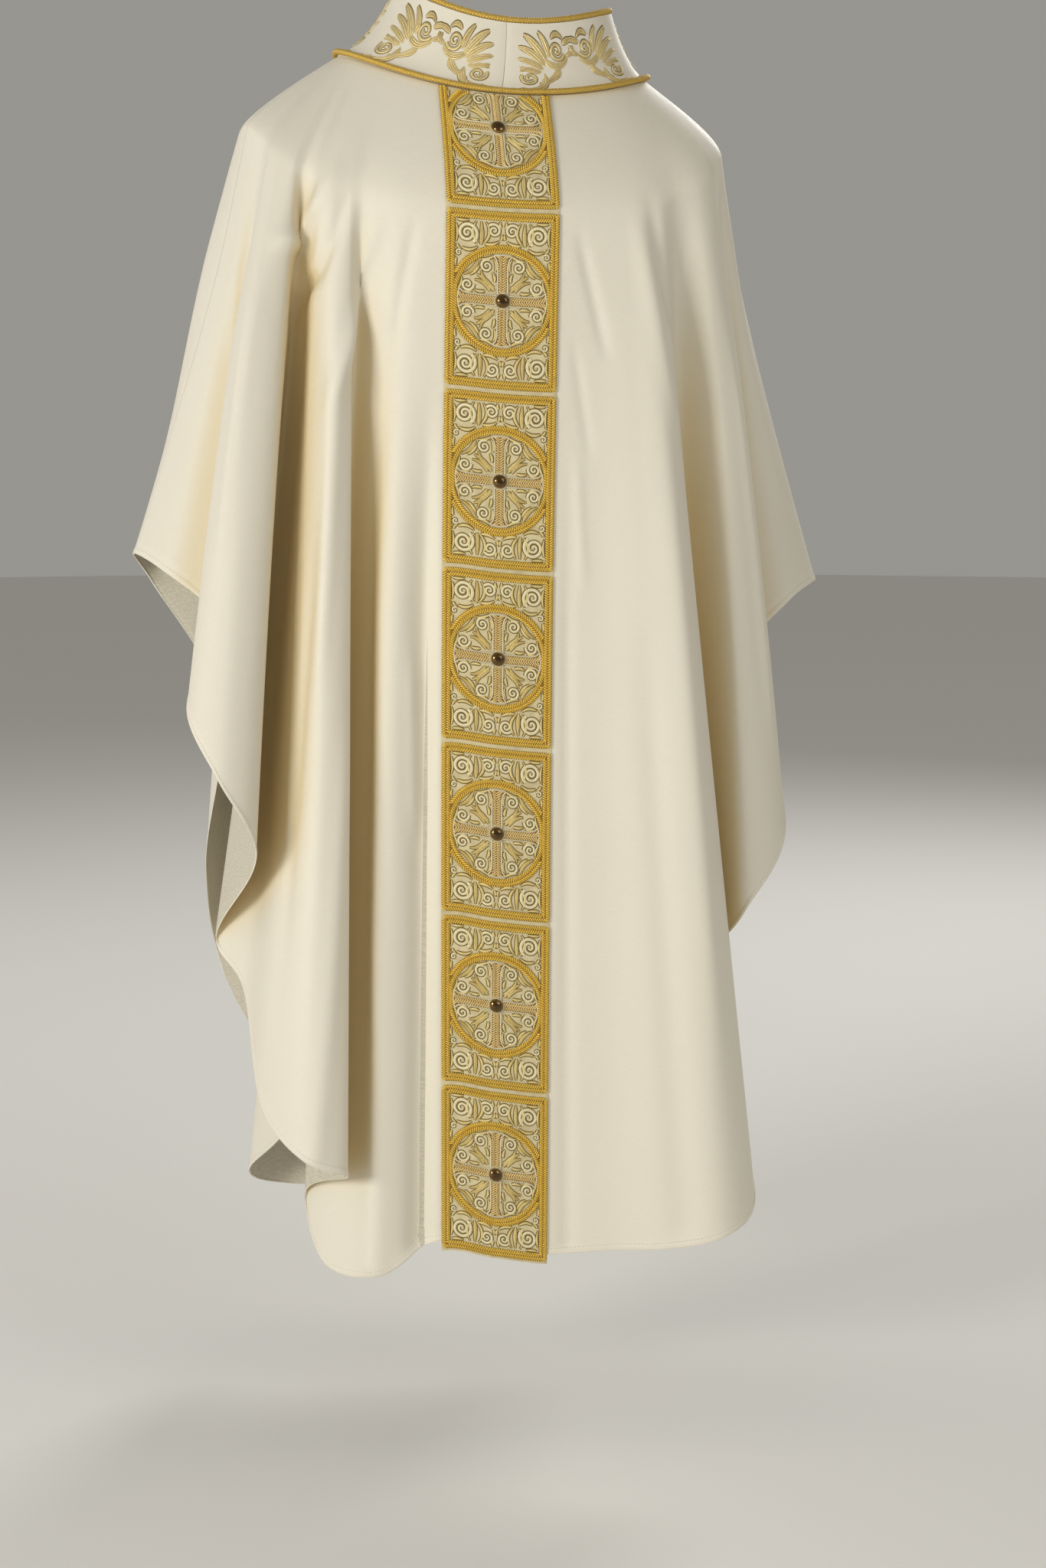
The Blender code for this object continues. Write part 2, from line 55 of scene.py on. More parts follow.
# Sizes of the solids, in the same terms
SEAM_GAP = 0.0003
NECK_EASE = 0.0016
NECK_SHIFT = 0.007
NECK_WIDE = 0.176
NECK_BACK = 0.100
NECK_FRONT = 0.120
NECK_RISE = 0.035
NECK_DROP = 0.055
LEAN = 0.011
TOP_SHIFT = 0.020
TOP_WIDE = 0.124
TOP_DEEP = 0.085
TOP_SIDE_Z = 0.108
TOP_BACK_Z = 0.077
TOP_FRONT_Z = 0.040
COLLAR_PULL = 0.55
COLLAR_WALL = 0.0025
YOKE_SHIFT = -0.006
YOKE_WIDE = 0.269
YOKE_BACK = 0.168
YOKE_FRONT = 0.160
YOKE_SQUARE = 0.6
YOKE_SIDE_Z = -0.022
YOKE_FALL_BACK = 0.078
YOKE_FALL_FRONT = 0.120
YOKE_FAN = 14.0
SOFT_END = 0.15
ELBOW = 0.45
CORD_RADIUS = 0.0035
CORD_GAP = 0.0005
BAND_HALF = 0.063
BAND_WALL = 0.0012
BAND_LENGTH = 1.325
BAND_TOP = 0.0032
PANELS = 7
PANEL_PITCH = 0.196
PANEL_FOOT = 0.003
FRAME_HALF = 0.0622
FRAME_TALL = 0.191
BRAID = 0.0092
RING_OUTER = 0.0606
RING_INNER = 0.0512
GEM_DROP = 0.0955
CROSS_ARM = 0.048
CROSS_HALF = 0.0053
CROSS_FLARE = 0.0100
CROSS_NECK = 0.0385
GEM_RADIUS = 0.0083
GEM_HEIGHT = 0.0046
TRIM_GAP = 0.0007
TRIM_WALL = 0.0012
STRETCH_ENDS = (0.0, 0.28, 0.55, 1.0)

Fold = namedtuple("Fold", "name angle elbow_x elbow_y hem_x hem_y hem_z")

BACK_FOLDS = [
    Fold("left seam", -84, -0.318, -0.010, -0.405, 0.048, -0.513),
    Fold("left sleeve back", -77, -0.307, -0.035, -0.372, -0.020, -0.531),
    Fold("left sleeve valley", -70.5, -0.290, -0.045, -0.318, -0.036, -0.580),
    Fold("fold A outer edge", -66, -0.318, -0.150, -0.363, -0.190, -0.674),
    Fold("fold A crest", -61.5, -0.310, -0.198, -0.334, -0.232, -0.741),
    Fold("fold A inner edge", -57, -0.267, -0.188, -0.292, -0.210, -0.822),
    Fold("valley one floor", -53, -0.252, -0.080, -0.325, -0.066, -0.951),
    Fold("valley one flank", -50, -0.240, -0.096, -0.300, -0.100, -0.991),
    Fold("fold B outer edge", -47, -0.239, -0.160, -0.283, -0.170, -1.126),
    Fold("fold B crest", -43.5, -0.214, -0.207, -0.242, -0.222, -1.171),
    Fold("fold B inner edge", -39.5, -0.185, -0.190, -0.194, -0.205, -1.193),
    Fold("valley two floor", -35.5, -0.184, -0.104, -0.231, -0.112, -1.235),
    Fold("valley two flank", -31, -0.158, -0.130, -0.211, -0.130, -1.316),
    Fold("left body", -25.5, -0.130, -0.164, -0.155, -0.172, -1.320),
    Fold("band left", -15, -0.082, -0.166, -0.084, -0.165, -1.285),
    Fold("centre back", -2, -0.019, -0.170, -0.021, -0.168, -1.296),
    Fold("band right", 11, 0.044, -0.166, 0.042, -0.162, -1.308),
    Fold("right body", 20.5, 0.098, -0.168, 0.116, -0.170, -1.305),
    Fold("main panel", 28.5, 0.150, -0.180, 0.179, -0.190, -1.301),
    Fold("main panel crest", 34, 0.196, -0.184, 0.240, -0.200, -1.288),
    Fold("main panel edge", 38.5, 0.219, -0.148, 0.285, -0.165, -1.261),
    Fold("right valley", 46, 0.212, -0.062, 0.240, -0.056, -1.025),
    Fold("fold C crest", 56, 0.268, -0.102, 0.279, -0.128, -0.924),
    Fold("fold C edge", 63, 0.298, -0.072, 0.337, -0.090, -0.839),
    Fold("right sleeve valley", 70, 0.280, -0.016, 0.306, -0.016, -0.640),
    Fold("right sleeve back", 79, 0.304, -0.005, 0.360, -0.010, -0.574),
    Fold("right seam", 90, 0.315, 0.020, 0.409, 0.050, -0.554),
]

FRONT_FOLDS = [
    Fold("right sleeve front", 101, 0.306, 0.070, 0.372, 0.115, -0.590),
    Fold("right front valley", 112, 0.266, 0.088, 0.300, 0.105, -0.700),
    Fold("right front fold edge", 120, 0.272, 0.145, 0.318, 0.190, -0.850),
    Fold("right front fold crest", 127, 0.235, 0.175, 0.268, 0.238, -0.960),
    Fold("right front hollow", 136, 0.188, 0.140, 0.222, 0.165, -1.080),
    Fold("right front roll", 146, 0.170, 0.190, 0.200, 0.240, -1.250),
    Fold("right chest", 160, 0.092, 0.180, 0.100, 0.206, -1.300),
    Fold("centre front", 180, -0.006, 0.192, -0.016, 0.216, -1.305),
    Fold("left chest", 200, -0.104, 0.180, -0.130, 0.208, -1.315),
    Fold("left front roll", 213, -0.180, 0.192, -0.215, 0.244, -1.322),
    Fold("left front roll edge", 221, -0.200, 0.164, -0.268, 0.190, -1.290),
    Fold("left front hollow", 228, -0.194, 0.108, -0.224, 0.112, -1.200),
    Fold("left front fold crest", 236, -0.250, 0.165, -0.298, 0.208, -1.030),
    Fold("left front fold edge", 243, -0.284, 0.125, -0.318, 0.158, -0.900),
    Fold("left front valley", 250, -0.272, 0.075, -0.304, 0.090, -0.690),
    Fold("left sleeve front", 261, -0.341, 0.050, -0.381, 0.106, -0.550),
]

FOLDS = BACK_FOLDS + FRONT_FOLDS
RIGHT_SEAM = len(BACK_FOLDS) - 1
CENTRE_BACK = [fold.name for fold in BACK_FOLDS].index("centre back")

# A soft crease runs between two places on the cloth. A place is a fold line's number and a share of
# the way down it. Width and height are in millimetres, and a trough has a height below nought.
Crease = namedtuple("Crease", "name fold_a down_a fold_b down_b width height")

CREASES = [
    Crease("left shoulder pull", 9.5, 0.10, 3.8, 0.32, 11, 7),
    Crease("left shoulder trough", 10.6, 0.11, 5.4, 0.34, 10, -7),
    Crease("second shoulder pull", 12.2, 0.12, 8.6, 0.36, 9, 6),
    Crease("fold A upper ridge", 4.0, 0.30, 3.6, 0.80, 10, 3),
    Crease("left sleeve trough", 2.2, 0.30, 2.4, 0.99, 13, -9),
    Crease("left sleeve pull", 1.2, 0.34, 1.7, 0.62, 8, 3),
    Crease("fold B upper ridge", 9.4, 0.22, 8.8, 0.62, 9, 4),
    Crease("fold B lower ridge", 9.9, 0.55, 9.2, 0.99, 10, 3),
    Crease("fold B trough", 8.6, 0.40, 8.2, 0.92, 8, -3),
    Crease("valley two ridge", 12.4, 0.30, 12.9, 0.88, 9, 4),
    Crease("left body ridge", 12.80, 0.24, 12.88, 0.99, 15, 8),
    Crease("trough beside the orphrey", 13.74, 0.24, 13.72, 0.99, 19, -12),
    Crease("fold in that trough", 13.35, 0.46, 13.55, 0.66, 7, 3),
    Crease("small pull by the orphrey", 16.5, 0.12, 17.4, 0.25, 7, -3),
    Crease("second small pull", 16.4, 0.21, 16.9, 0.33, 6, -2),
    Crease("third small pull", 16.5, 0.30, 16.7, 0.44, 6, 2),
    Crease("small pull by the left shoulder", 13.4, 0.12, 12.6, 0.26, 7, -3),
    Crease("trough right of the orphrey", 16.30, 0.30, 16.30, 0.99, 9, -3),
    Crease("right shoulder trough", 19.4, 0.10, 20.8, 0.30, 11, -5),
    Crease("right shoulder pull", 18.4, 0.11, 20.0, 0.34, 11, 3),
    Crease("main panel ridge", 19.0, 0.30, 19.2, 0.90, 14, 3),
    Crease("main panel trough", 18.0, 0.42, 18.3, 0.98, 16, -3),
    Crease("fold C ridge", 22.6, 0.28, 22.9, 0.92, 10, 4),
    Crease("fold C trough", 23.4, 0.34, 23.6, 0.97, 9, -3),
    Crease("right sleeve pull", 24.6, 0.16, 24.2, 0.80, 10, -4),
    Crease("right sleeve ridge", 25.2, 0.24, 25.4, 0.92, 10, 3),
    Crease("right front pull", 28.4, 0.20, 29.6, 0.74, 11, 4),
    Crease("right front trough", 30.4, 0.30, 30.9, 0.90, 10, -4),
    Crease("right chest ridge", 32.6, 0.26, 32.2, 0.95, 12, 4),
    Crease("right chest trough", 33.2, 0.40, 33.0, 0.97, 13, -3),
    Crease("centre front ridge", 33.9, 0.36, 34.2, 0.90, 14, 3),
    Crease("left chest trough", 34.9, 0.30, 35.1, 0.96, 12, -4),
    Crease("left chest ridge", 35.6, 0.24, 35.7, 0.93, 11, 4),
    Crease("left front pull", 37.9, 0.22, 38.4, 0.88, 10, 3),
    Crease("left front trough", 39.6, 0.26, 39.3, 0.90, 10, -4),
    Crease("left sleeve pull", 41.4, 0.20, 41.8, 0.90, 10, 4),
]

# Rows of the cloth near the hem, by their distance from its edge, and how far each stands proud
HEM_ROWS = (0.0140, 0.0105, 0.0088, 0.0078, 0.0070, 0.0062, 0.0050, 0.0022, 0.0007, 0.0)
HEM_LIFT = (0.0, 0.0, 0.0001, 0.0003, 0.0001, 0.0005, 0.0007, 0.0007, 0.0005, 0.0)

# Ornament of one orphrey panel, in millimetres from its stone. Each row is drawn in all four quarters.
Scroll = namedtuple("Scroll", "name x y radius turns start way width")
Leaf = namedtuple("Leaf", "name x_a y_a x_b y_b bend width")

PANEL_SCROLLS = [
    Scroll("corner scroll", -39.4, -70.4, 11.4, 2.1, 20, 1, 4.1),
    Scroll("middle scroll", -10.0, -75.0, 7.4, 1.7, 110, -1, 3.3),
    Scroll("ring upper scroll", -17.6, -36.6, 7.0, 1.6, 80, 1, 3.2),
    Scroll("ring side scroll", -38.6, -15.0, 7.0, 1.6, -150, -1, 3.2),
    Scroll("side scroll", -48.6, -48.5, 3.4, 1.2, 250, 1, 2.4),
]

PANEL_LEAVES = [
    Leaf("diagonal leaf", -9.0, -9.6, -28.5, -27.0, 0.08, 4.3),
    Leaf("upper diagonal leaf", -8.6, -14.0, -24.0, -31.5, -0.14, 3.8),
    Leaf("side diagonal leaf", -13.5, -9.2, -31.0, -21.0, 0.16, 3.8),
    Leaf("upper ring leaf", -9.0, -19.5, -11.4, -30.0, 0.12, 3.2),
    Leaf("upper ring tip", -8.4, -31.0, -10.6, -45.0, 0.16, 3.0),
    Leaf("side ring leaf", -19.0, -9.6, -31.0, -10.2, -0.12, 3.2),
    Leaf("side ring tip", -33.0, -8.6, -47.0, -8.8, -0.14, 2.7),
    Leaf("ring edge leaf", -27.0, -42.5, -43.5, -25.5, -0.12, 3.8),
    Leaf("inner edge leaf", -26.0, -37.0, -36.5, -25.5, -0.10, 3.2),
    Leaf("upper edge leaf", -9.0, -48.8, -25.5, -43.6, -0.10, 3.0),
    Leaf("side edge leaf", -49.4, -8.5, -45.0, -23.5, 0.10, 2.7),
    Leaf("fan stem", -24.4, -58.5, -24.2, -84.0, 0.03, 4.1),
    Leaf("fan left leaf", -27.5, -60.0, -29.4, -84.0, -0.20, 3.2),
    Leaf("fan right leaf", -21.4, -60.5, -19.6, -84.0, 0.22, 3.2),
    Leaf("fan low leaf", -20.5, -60.2, -4.0, -64.2, 0.12, 3.5),
    Leaf("middle bead leaf", -2.4, -65.0, -1.6, -71.5, 0.10, 3.0),
    Leaf("middle top leaf", -1.8, -78.0, -3.0, -85.0, -0.16, 3.0),
    Leaf("corner tip", -51.0, -84.4, -37.0, -84.6, 0.05, 3.0),
    Leaf("corner drop", -52.0, -80.0, -51.8, -60.0, -0.08, 2.7),
    Leaf("ring follower", -45.5, -54.5, -27.5, -57.2, 0.18, 3.2),
    Leaf("ring follower tip", -50.5, -58.0, -46.0, -53.0, 0.20, 2.7),
    Leaf("side drop", -51.0, -43.5, -51.4, -33.5, 0.08, 2.7),
]

# Ornament of the collar, in millimetres from a cluster's inner edge and up from the neck seam
COLLAR_SCROLLS = [
    Scroll("upper scroll", 61.0, 57.0, 9.6, 1.5, 200, -1, 4.2),
    Scroll("lower scroll", 27.0, 27.0, 9.6, 1.5, 30, 1, 4.2),
]

COLLAR_LEAVES = [
    Leaf("upper finger", 47.0, 46.0, 21.0, 71.5, 0.10, 8.8),
    Leaf("crown finger", 50.5, 51.0, 39.0, 74.0, 0.12, 6.8),
    Leaf("second finger", 45.0, 42.5, 14.5, 61.0, 0.10, 8.1),
    Leaf("third finger", 42.5, 38.5, 13.5, 50.0, 0.06, 6.8),
    Leaf("fourth finger", 40.0, 35.5, 16.0, 41.0, -0.04, 5.7),
    Leaf("crescent", 45.0, 49.0, 73.0, 51.0, 0.30, 8.3),
    Leaf("outer tip", 69.0, 62.0, 84.0, 66.0, -0.10, 5.2),
    Leaf("tip hook", 72.0, 52.0, 82.0, 61.0, 0.22, 4.7),
    Leaf("crown curl", 55.0, 68.0, 70.0, 67.0, -0.26, 4.4),
    Leaf("stem", 61.0, 43.0, 36.0, 19.0, -0.16, 7.3),
    Leaf("pointed leaf", 60.0, 38.0, 52.0, 24.5, -0.12, 5.7),
    Leaf("lower crescent", 43.0, 33.0, 19.0, 9.5, -0.34, 7.8),
    Leaf("inner leaf", 37.0, 33.0, 16.0, 36.0, 0.18, 5.2),
    Leaf("foot leaf", 36.0, 14.0, 26.0, 5.5, -0.18, 5.2),
    Leaf("tail", 22.0, 12.0, 9.5, 9.5, -0.26, 5.2),
]

MM = 0.001
TRIM_LIFT = SEAM_GAP + BAND_WALL + TRIM_GAP
# How far the dark underlay, painted shade round each scroll and leaf, reaches past the thread.
SHADE_RIM = 0.0010
SPLIT_LEAF = 3.6


def blend(start, end, share):
    """Point at a share of the way from start to end."""
    return start + (end - start) * share


def quadratic(start, corner, end, share):
    """Point on the parabola that rounds a corner."""
    return blend(blend(start, corner, share), blend(corner, end, share), share)


def unit(vectors):
    """Vectors of length one, along the last axis."""
    return vectors / np.maximum(np.linalg.norm(vectors, axis=-1, keepdims=True), 1e-12)


def neck_point(angle):
    """Point of the neck seam at an angle from the centre back, in degrees."""
    side = math.sin(math.radians(angle))
    back = math.cos(math.radians(angle))
    deep = NECK_BACK if back > 0 else NECK_FRONT
    drop = NECK_DROP * min(back, 0.0) ** 2
    rise = NECK_RISE * side ** 2
    return np.array([NECK_SHIFT * abs(side) + NECK_WIDE * side, -deep * back, rise - drop - LEAN * side])


def top_point(angle):
    """Point of the collar's upper edge at an angle from the centre back."""
    side = math.sin(math.radians(angle))
    back = math.cos(math.radians(angle))
    level = TOP_BACK_Z if back > 0 else TOP_FRONT_Z
    height = TOP_SIDE_Z * side ** 2 + level * back ** 2
    shift = 0.009 + (TOP_SHIFT - 0.009) * side ** 2
    return np.array([shift + TOP_WIDE * side, -TOP_DEEP * back, height - LEAN * side])


def yoke_point(angle):
    """Corner of the shoulder ring that the cloth turns round at an angle from the centre back."""
    side = math.sin(math.radians(angle))
    back = math.cos(math.radians(angle))
    deep = YOKE_BACK if back > 0 else -YOKE_FRONT
    fall = YOKE_FALL_BACK if back > 0 else YOKE_FALL_FRONT
    return np.array([
        YOKE_SHIFT * abs(side) + YOKE_WIDE * side,
        -deep * abs(back) ** YOKE_SQUARE,
        YOKE_SIDE_Z - fall * abs(back) - LEAN * side,
    ])


def fold_line(fold, shares):
    """Points of a fold line at shares of the way from the neck seam to the hem."""
    fan = fold.angle + YOKE_FAN * math.sin(math.radians(2 * fold.angle))
    neck = neck_point(fan)
    yoke = yoke_point(fold.angle)
    hem = np.array([fold.hem_x, fold.hem_y, fold.hem_z])
    elbow = np.array([fold.elbow_x, fold.elbow_y, yoke[2] + ELBOW * (hem[2] - yoke[2])])
    soft = blend(yoke, elbow, SOFT_END)
    upper = blend(yoke, soft, 0.5)
    lower = blend(soft, elbow, 0.5)
    _, first, second, last = STRETCH_ENDS
    shares = np.asarray(shares)[:, None]
    shoulder = quadratic(neck, yoke, upper, shares / first)
    middle = blend(upper, lower, (shares - first) / (second - first))
    skirt = quadratic(lower, elbow, hem, (shares - second) / (last - second))
    return np.where(shares < first, shoulder, np.where(shares < second, middle, skirt))


def rounded(p0, p1, p2, p3, share):
    """Centripetal Catmull-Rom curve from p1 to p2, for arrays of points."""
    knots = [0.0]
    for start, end in ((p0, p1), (p1, p2), (p2, p3)):
        gap = np.linalg.norm(end - start, axis=-1, keepdims=True)
        knots.append(knots[-1] + np.maximum(gap, 1e-6) ** 0.5)
    k0, k1, k2, k3 = knots
    k = blend(k1, k2, share)
    a1 = blend(p0, p1, (k - k0) / (k1 - k0))
    a2 = blend(p1, p2, (k - k1) / (k2 - k1))
    a3 = blend(p2, p3, (k - k2) / (k3 - k2))
    b1 = blend(a1, a2, (k - k0) / (k2 - k0))
    b2 = blend(a2, a3, (k - k1) / (k3 - k1))
    return blend(b1, b2, (k - k1) / (k2 - k1))


def outward_normals(grid):
    """Unit normals of a grid of points whose rows run down and columns run to the wearer's right."""
    faces = unit(np.cross(grid[1:, :-1] - grid[:-1, 1:], grid[1:, 1:] - grid[:-1, :-1]))
    faces = np.pad(faces, ((1, 1), (1, 1), (0, 0)), mode="edge")
    return unit(faces[:-1, :-1] + faces[1:, :-1] + faces[:-1, 1:] + faces[1:, 1:])


def soft_step(low, high, value):
    """Rise from nought to one between two values."""
    share = np.clip((value - low) / (high - low), 0.0, 1.0)
    return share * share * (3 - 2 * share)


def run_along(points, axis):
    """Distance along lines of points, from the first one."""
    steps = np.linalg.norm(np.diff(points, axis=axis), axis=-1)
    start = np.zeros_like(np.take(steps, [0], axis=axis))
    return np.concatenate((start, np.cumsum(steps, axis=axis)), axis=axis)


def share_out(lengths, total):
    """Whole numbers of steps for several lengths that add up to a total."""
    steps = np.maximum(6, np.round(lengths / lengths.sum() * total)).astype(int)
    steps[np.argmax(steps)] += total - steps.sum()
    return steps


class PanelCloth:
    """One panel of the poncho as a fine grid of points with its soft creases and turned hem."""

    def __init__(self, first, last, rows, columns, crease_depth):
        shares = np.linspace(0.0, 1.0, 301)
        lines = [fold_line(fold, shares) for fold in FOLDS]
        count = len(FOLDS)
        gaps = np.array([np.linalg.norm(lines[(i + 1) % count][225] - lines[i][225])
                         for i in range(first, last)])
        steps = share_out(gaps, columns)
        wide = [steps[0]] + list(steps) + [steps[-1]]
        points, places = [], []
        for index, number in zip(range(first - 1, last + 1), wide):
            ends = [lines[(index + offset) % count] for offset in (-1, 0, 1, 2)]
            for step in range(number):
                points.append(rounded(*ends, step / number))
                places.append(index + step / number)
        points.append(lines[(last + 1) % count])
        places.append(last + 1)
        points = np.array(points)
        run = run_along(points, 1)
        total = run[:, -1:]
        even = np.linspace(0.0, 1.0, rows - len(HEM_ROWS) + 1)[:-1]
        targets = np.concatenate((even * (total - HEM_ROWS[0]), total - np.array(HEM_ROWS)), axis=1)
        grid = np.array([[np.interp(target, line_run, line[:, axis]) for axis in range(3)]
                         for target, line_run, line in zip(targets, run, points)])
        grid = grid.transpose(2, 0, 1)
        keep = slice(wide[0], -wide[-1])
        self.first, self.last = first, last
        self.places = np.array(places)[keep]
        self.down = targets.T[:, keep]
        self.share = self.down / self.down[-1]
        self.normals = outward_normals(grid)[:, keep]
        self.base = grid[:, keep]
        self.across = run_along(self.base, 1)
        self.grid = self.draw_back(self.base) + self.normals * self.relief(crease_depth)[..., None]
        self.skin = outward_normals(self.grid)

    def draw_back(self, grid):
        """Leave the seams' gaps at the two sides and the ease at the neck."""
        grid = grid.copy()
        for edge, inside in ((0, 1), (-1, -2)):
            grid[:, edge] += unit(grid[:, inside] - grid[:, edge]) * SEAM_GAP
        grid[0] += unit(grid[1] - grid[0]) * NECK_EASE
        return grid

    def at(self, place, share):
        """Points of the cloth at places and shares of the way down."""
        column = np.interp(place, self.places, np.arange(len(self.places)))
        left = np.clip(column.astype(int), 0, len(self.places) - 2)
        points = []
        for spot, whole, down in zip(column, left, share):
            line = blend(self.base[:, whole], self.base[:, whole + 1], spot - whole)
            run = blend(self.share[:, whole], self.share[:, whole + 1], spot - whole)
            points.append([np.interp(down, run, line[:, axis]) for axis in range(3)])
        return np.array(points)

    def relief(self, crease_depth):
        """How far each point stands proud: creases, then the seam's roll and the turned hem."""
        lift = np.zeros(self.base.shape[:2])
        steps = np.linspace(0.0, 1.0, 13)
        for crease in CREASES:
            if not self.first <= crease.fold_a <= self.last:
                continue
            line = self.at(blend(crease.fold_a, crease.fold_b, steps),
                           blend(crease.down_a, crease.down_b, steps))
            width = crease.width * MM
            low, high = line.min(axis=0) - 3 * width, line.max(axis=0) + 3 * width
            near = np.all((self.base > low) & (self.base < high), axis=2)
            spots = self.base[near]
            best = np.full(len(spots), 1e9)
            along = np.zeros(len(spots))
            for index in range(len(line) - 1):
                way = line[index + 1] - line[index]
                share = np.clip((spots - line[index]) @ way / (way @ way), 0.0, 1.0)
                away = np.linalg.norm(spots - line[index] - share[:, None] * way, axis=1)
                closer = away < best
                best[closer] = away[closer]
                along[closer] = (index + share[closer]) / (len(line) - 1)
            fade = soft_step(0.0, 0.3, along) * soft_step(0.0, 0.3, 1 - along)
            if crease.down_b > 0.965:
                fade = soft_step(0.0, 0.3, along)
            lift[near] += crease.height * MM * crease_depth * fade * np.exp(-(best / width) ** 2)
        lift *= soft_step(0.03, 0.09, self.share)
        side = np.minimum(self.across, self.across[:, -1:] - self.across)
        lift *= soft_step(0.008, 0.05, side)
        if self.first < CENTRE_BACK < self.last:
            middle = np.argmin(abs(self.places - CENTRE_BACK))
            beside = abs(self.across - self.across[:, middle:middle + 1])
            lift *= soft_step(0.0640, 0.082, beside)
        lift -= 0.0006 * np.exp(-(side / 0.003) ** 2)
        hem = self.down[-1] - self.down
        return lift + np.interp(hem, HEM_ROWS[::-1], HEM_LIFT[::-1])


class Surface:
    """Cloth under the trim, addressed by distance across and distance down."""

    def __init__(self, across, down, grid):
        self.across = across
        self.down = down
        self.grid = grid
        self.normals = outward_normals(grid)

    def points(self, spots, lifts):
        """Points at spots (across, down), each lifted off the cloth."""
        column = np.interp(spots[:, 0], self.across, np.arange(len(self.across)))
        row = np.interp(spots[:, 1], self.down, np.arange(len(self.down)))
        left = np.clip(column.astype(int), 0, len(self.across) - 2)
        upper = np.clip(row.astype(int), 0, len(self.down) - 2)
        share_x = (column - left)[:, None]
        share_y = (row - upper)[:, None]
        found = []
        for field in (self.grid, self.normals):
            above = blend(field[upper, left], field[upper, left + 1], share_x)
            below = blend(field[upper + 1, left], field[upper + 1, left + 1], share_x)
            found.append(blend(above, below, share_y))
        return found[0] + unit(found[1]) * np.asarray(lifts)[:, None]


def strip_surface():
    """The cloth down the centre back, addressed from the centre line and from the neck seam."""
    shares = np.linspace(0.0, 1.05, 841)
    reach = 2
    lines = {index: fold_line(FOLDS[index], shares)
             for index in range(CENTRE_BACK - reach - 1, CENTRE_BACK + reach + 2)}
    run = run_along(lines[CENTRE_BACK], 0)
    down = np.arange(0.0, BAND_LENGTH + 0.02, 0.003)
    at = np.interp(down, run, shares)
    columns = []
    for index in range(CENTRE_BACK - reach, CENTRE_BACK + reach):
        ends = [np.stack([np.interp(at, shares, lines[index + offset][:, axis]) for axis in range(3)], axis=1)
                for offset in (-1, 0, 1, 2)]
        columns += [rounded(*ends, step / 16) for step in range(16)]
    curves = np.array(columns).transpose(1, 0, 2)
    length = run_along(curves, 1)
    length -= length[:, 16 * reach:16 * reach + 1]
    across = np.linspace(-0.0735, 0.0735, 43)
    grid = np.array([[np.interp(across, row, curve[:, axis]) for axis in range(3)]
                     for row, curve in zip(length, curves)]).transpose(0, 2, 1)
    return Surface(across, down, grid)


def collar_point(angle, share):
    """Point of the collar's outside, from the neck seam at share 0 to its upper edge at share 1."""
    neck = neck_point(angle)
    top = top_point(angle)
    pull = np.array([top[0], top[1], neck[2]])
    corner = blend(blend(neck, top, 0.5), blend(neck, pull, 0.7), COLLAR_PULL)
    return quadratic(neck, corner, top, share) + np.array([0.0, 0.0, SEAM_GAP + 0.0006])


def collar_surface(start, end):
    """Half of the collar, addressed along it from the centre back and down from its upper edge."""
    angles = np.linspace(start, end, 121)
    shares = np.linspace(1.0, 0.0, 29)
    grid = np.array([[collar_point(angle, share) for angle in angles] for share in shares])
    run = run_along(grid[14:15], 1)[0]
    if start < 0:
        run = run - run[-1]
    return Surface(run, (1 - shares) * 0.080, grid)


class Needlework:
    """Points, faces and cloth coordinates of one sewn piece, gathered stitch by stitch."""

    def __init__(self):
        self.points, self.faces, self.spots = [], [], []
        self.count = 0

    def add(self, points, faces, spots):
        """Add a part of the piece."""
        self.points.append(points)
        self.faces.append(np.asarray(faces) + self.count)
        self.spots.append(spots)
        self.count += len(points)

    def ribbons(self, surface, paths, halves, base, height, sides=5, taper=0.25):
        """Domed ribbons that follow paths over a surface. All have the same number of points."""
        paths = np.asarray(paths, float)
        number, length = paths.shape[:2]
        along = unit(np.gradient(paths, axis=1))
        beside = np.stack([-along[..., 1], along[..., 0]], axis=-1)
        turn = np.sin(np.linspace(-math.pi / 2, math.pi / 2, sides))
        halves = np.broadcast_to(np.asarray(halves, float), (number, length))
        spots = paths[:, :, None] + beside[:, :, None] * (halves[..., None] * turn)[..., None]
        ends = np.linspace(0.0, 1.0, length)
        rise = np.sqrt(soft_step(-0.02, taper, ends) * soft_step(-0.02, taper, 1 - ends))
        dome = np.sqrt(np.clip(1 - turn ** 2, 0.0, 1.0))
        lifts = base + height * rise[None, :, None] * dome[None, None, :]
        lifts = np.broadcast_to(lifts, (number, length, sides))
        points = surface.points(spots.reshape(-1, 2), lifts.reshape(-1))
        run = run_along(paths, 1)
        marks = np.stack([np.broadcast_to(halves[..., None] * turn, spots.shape[:3]),
                          np.broadcast_to(run[..., None], spots.shape[:3])], axis=-1)
        first = np.arange(number)[:, None, None] * length * sides
        corner = first + np.arange(length - 1)[None, :, None] * sides + np.arange(sides - 1)[None, None, :]
        corner = corner.reshape(-1)
        faces = np.stack([corner, corner + 1, corner + sides + 1, corner + sides], axis=1)
        self.add(points, faces, marks.reshape(-1, 2))

    def make(self, name, finish):
        """Turn what was gathered into one piece."""
        return new_piece(name, np.concatenate(self.points), np.concatenate(self.faces).tolist(),
                         np.concatenate(self.spots), [finish])


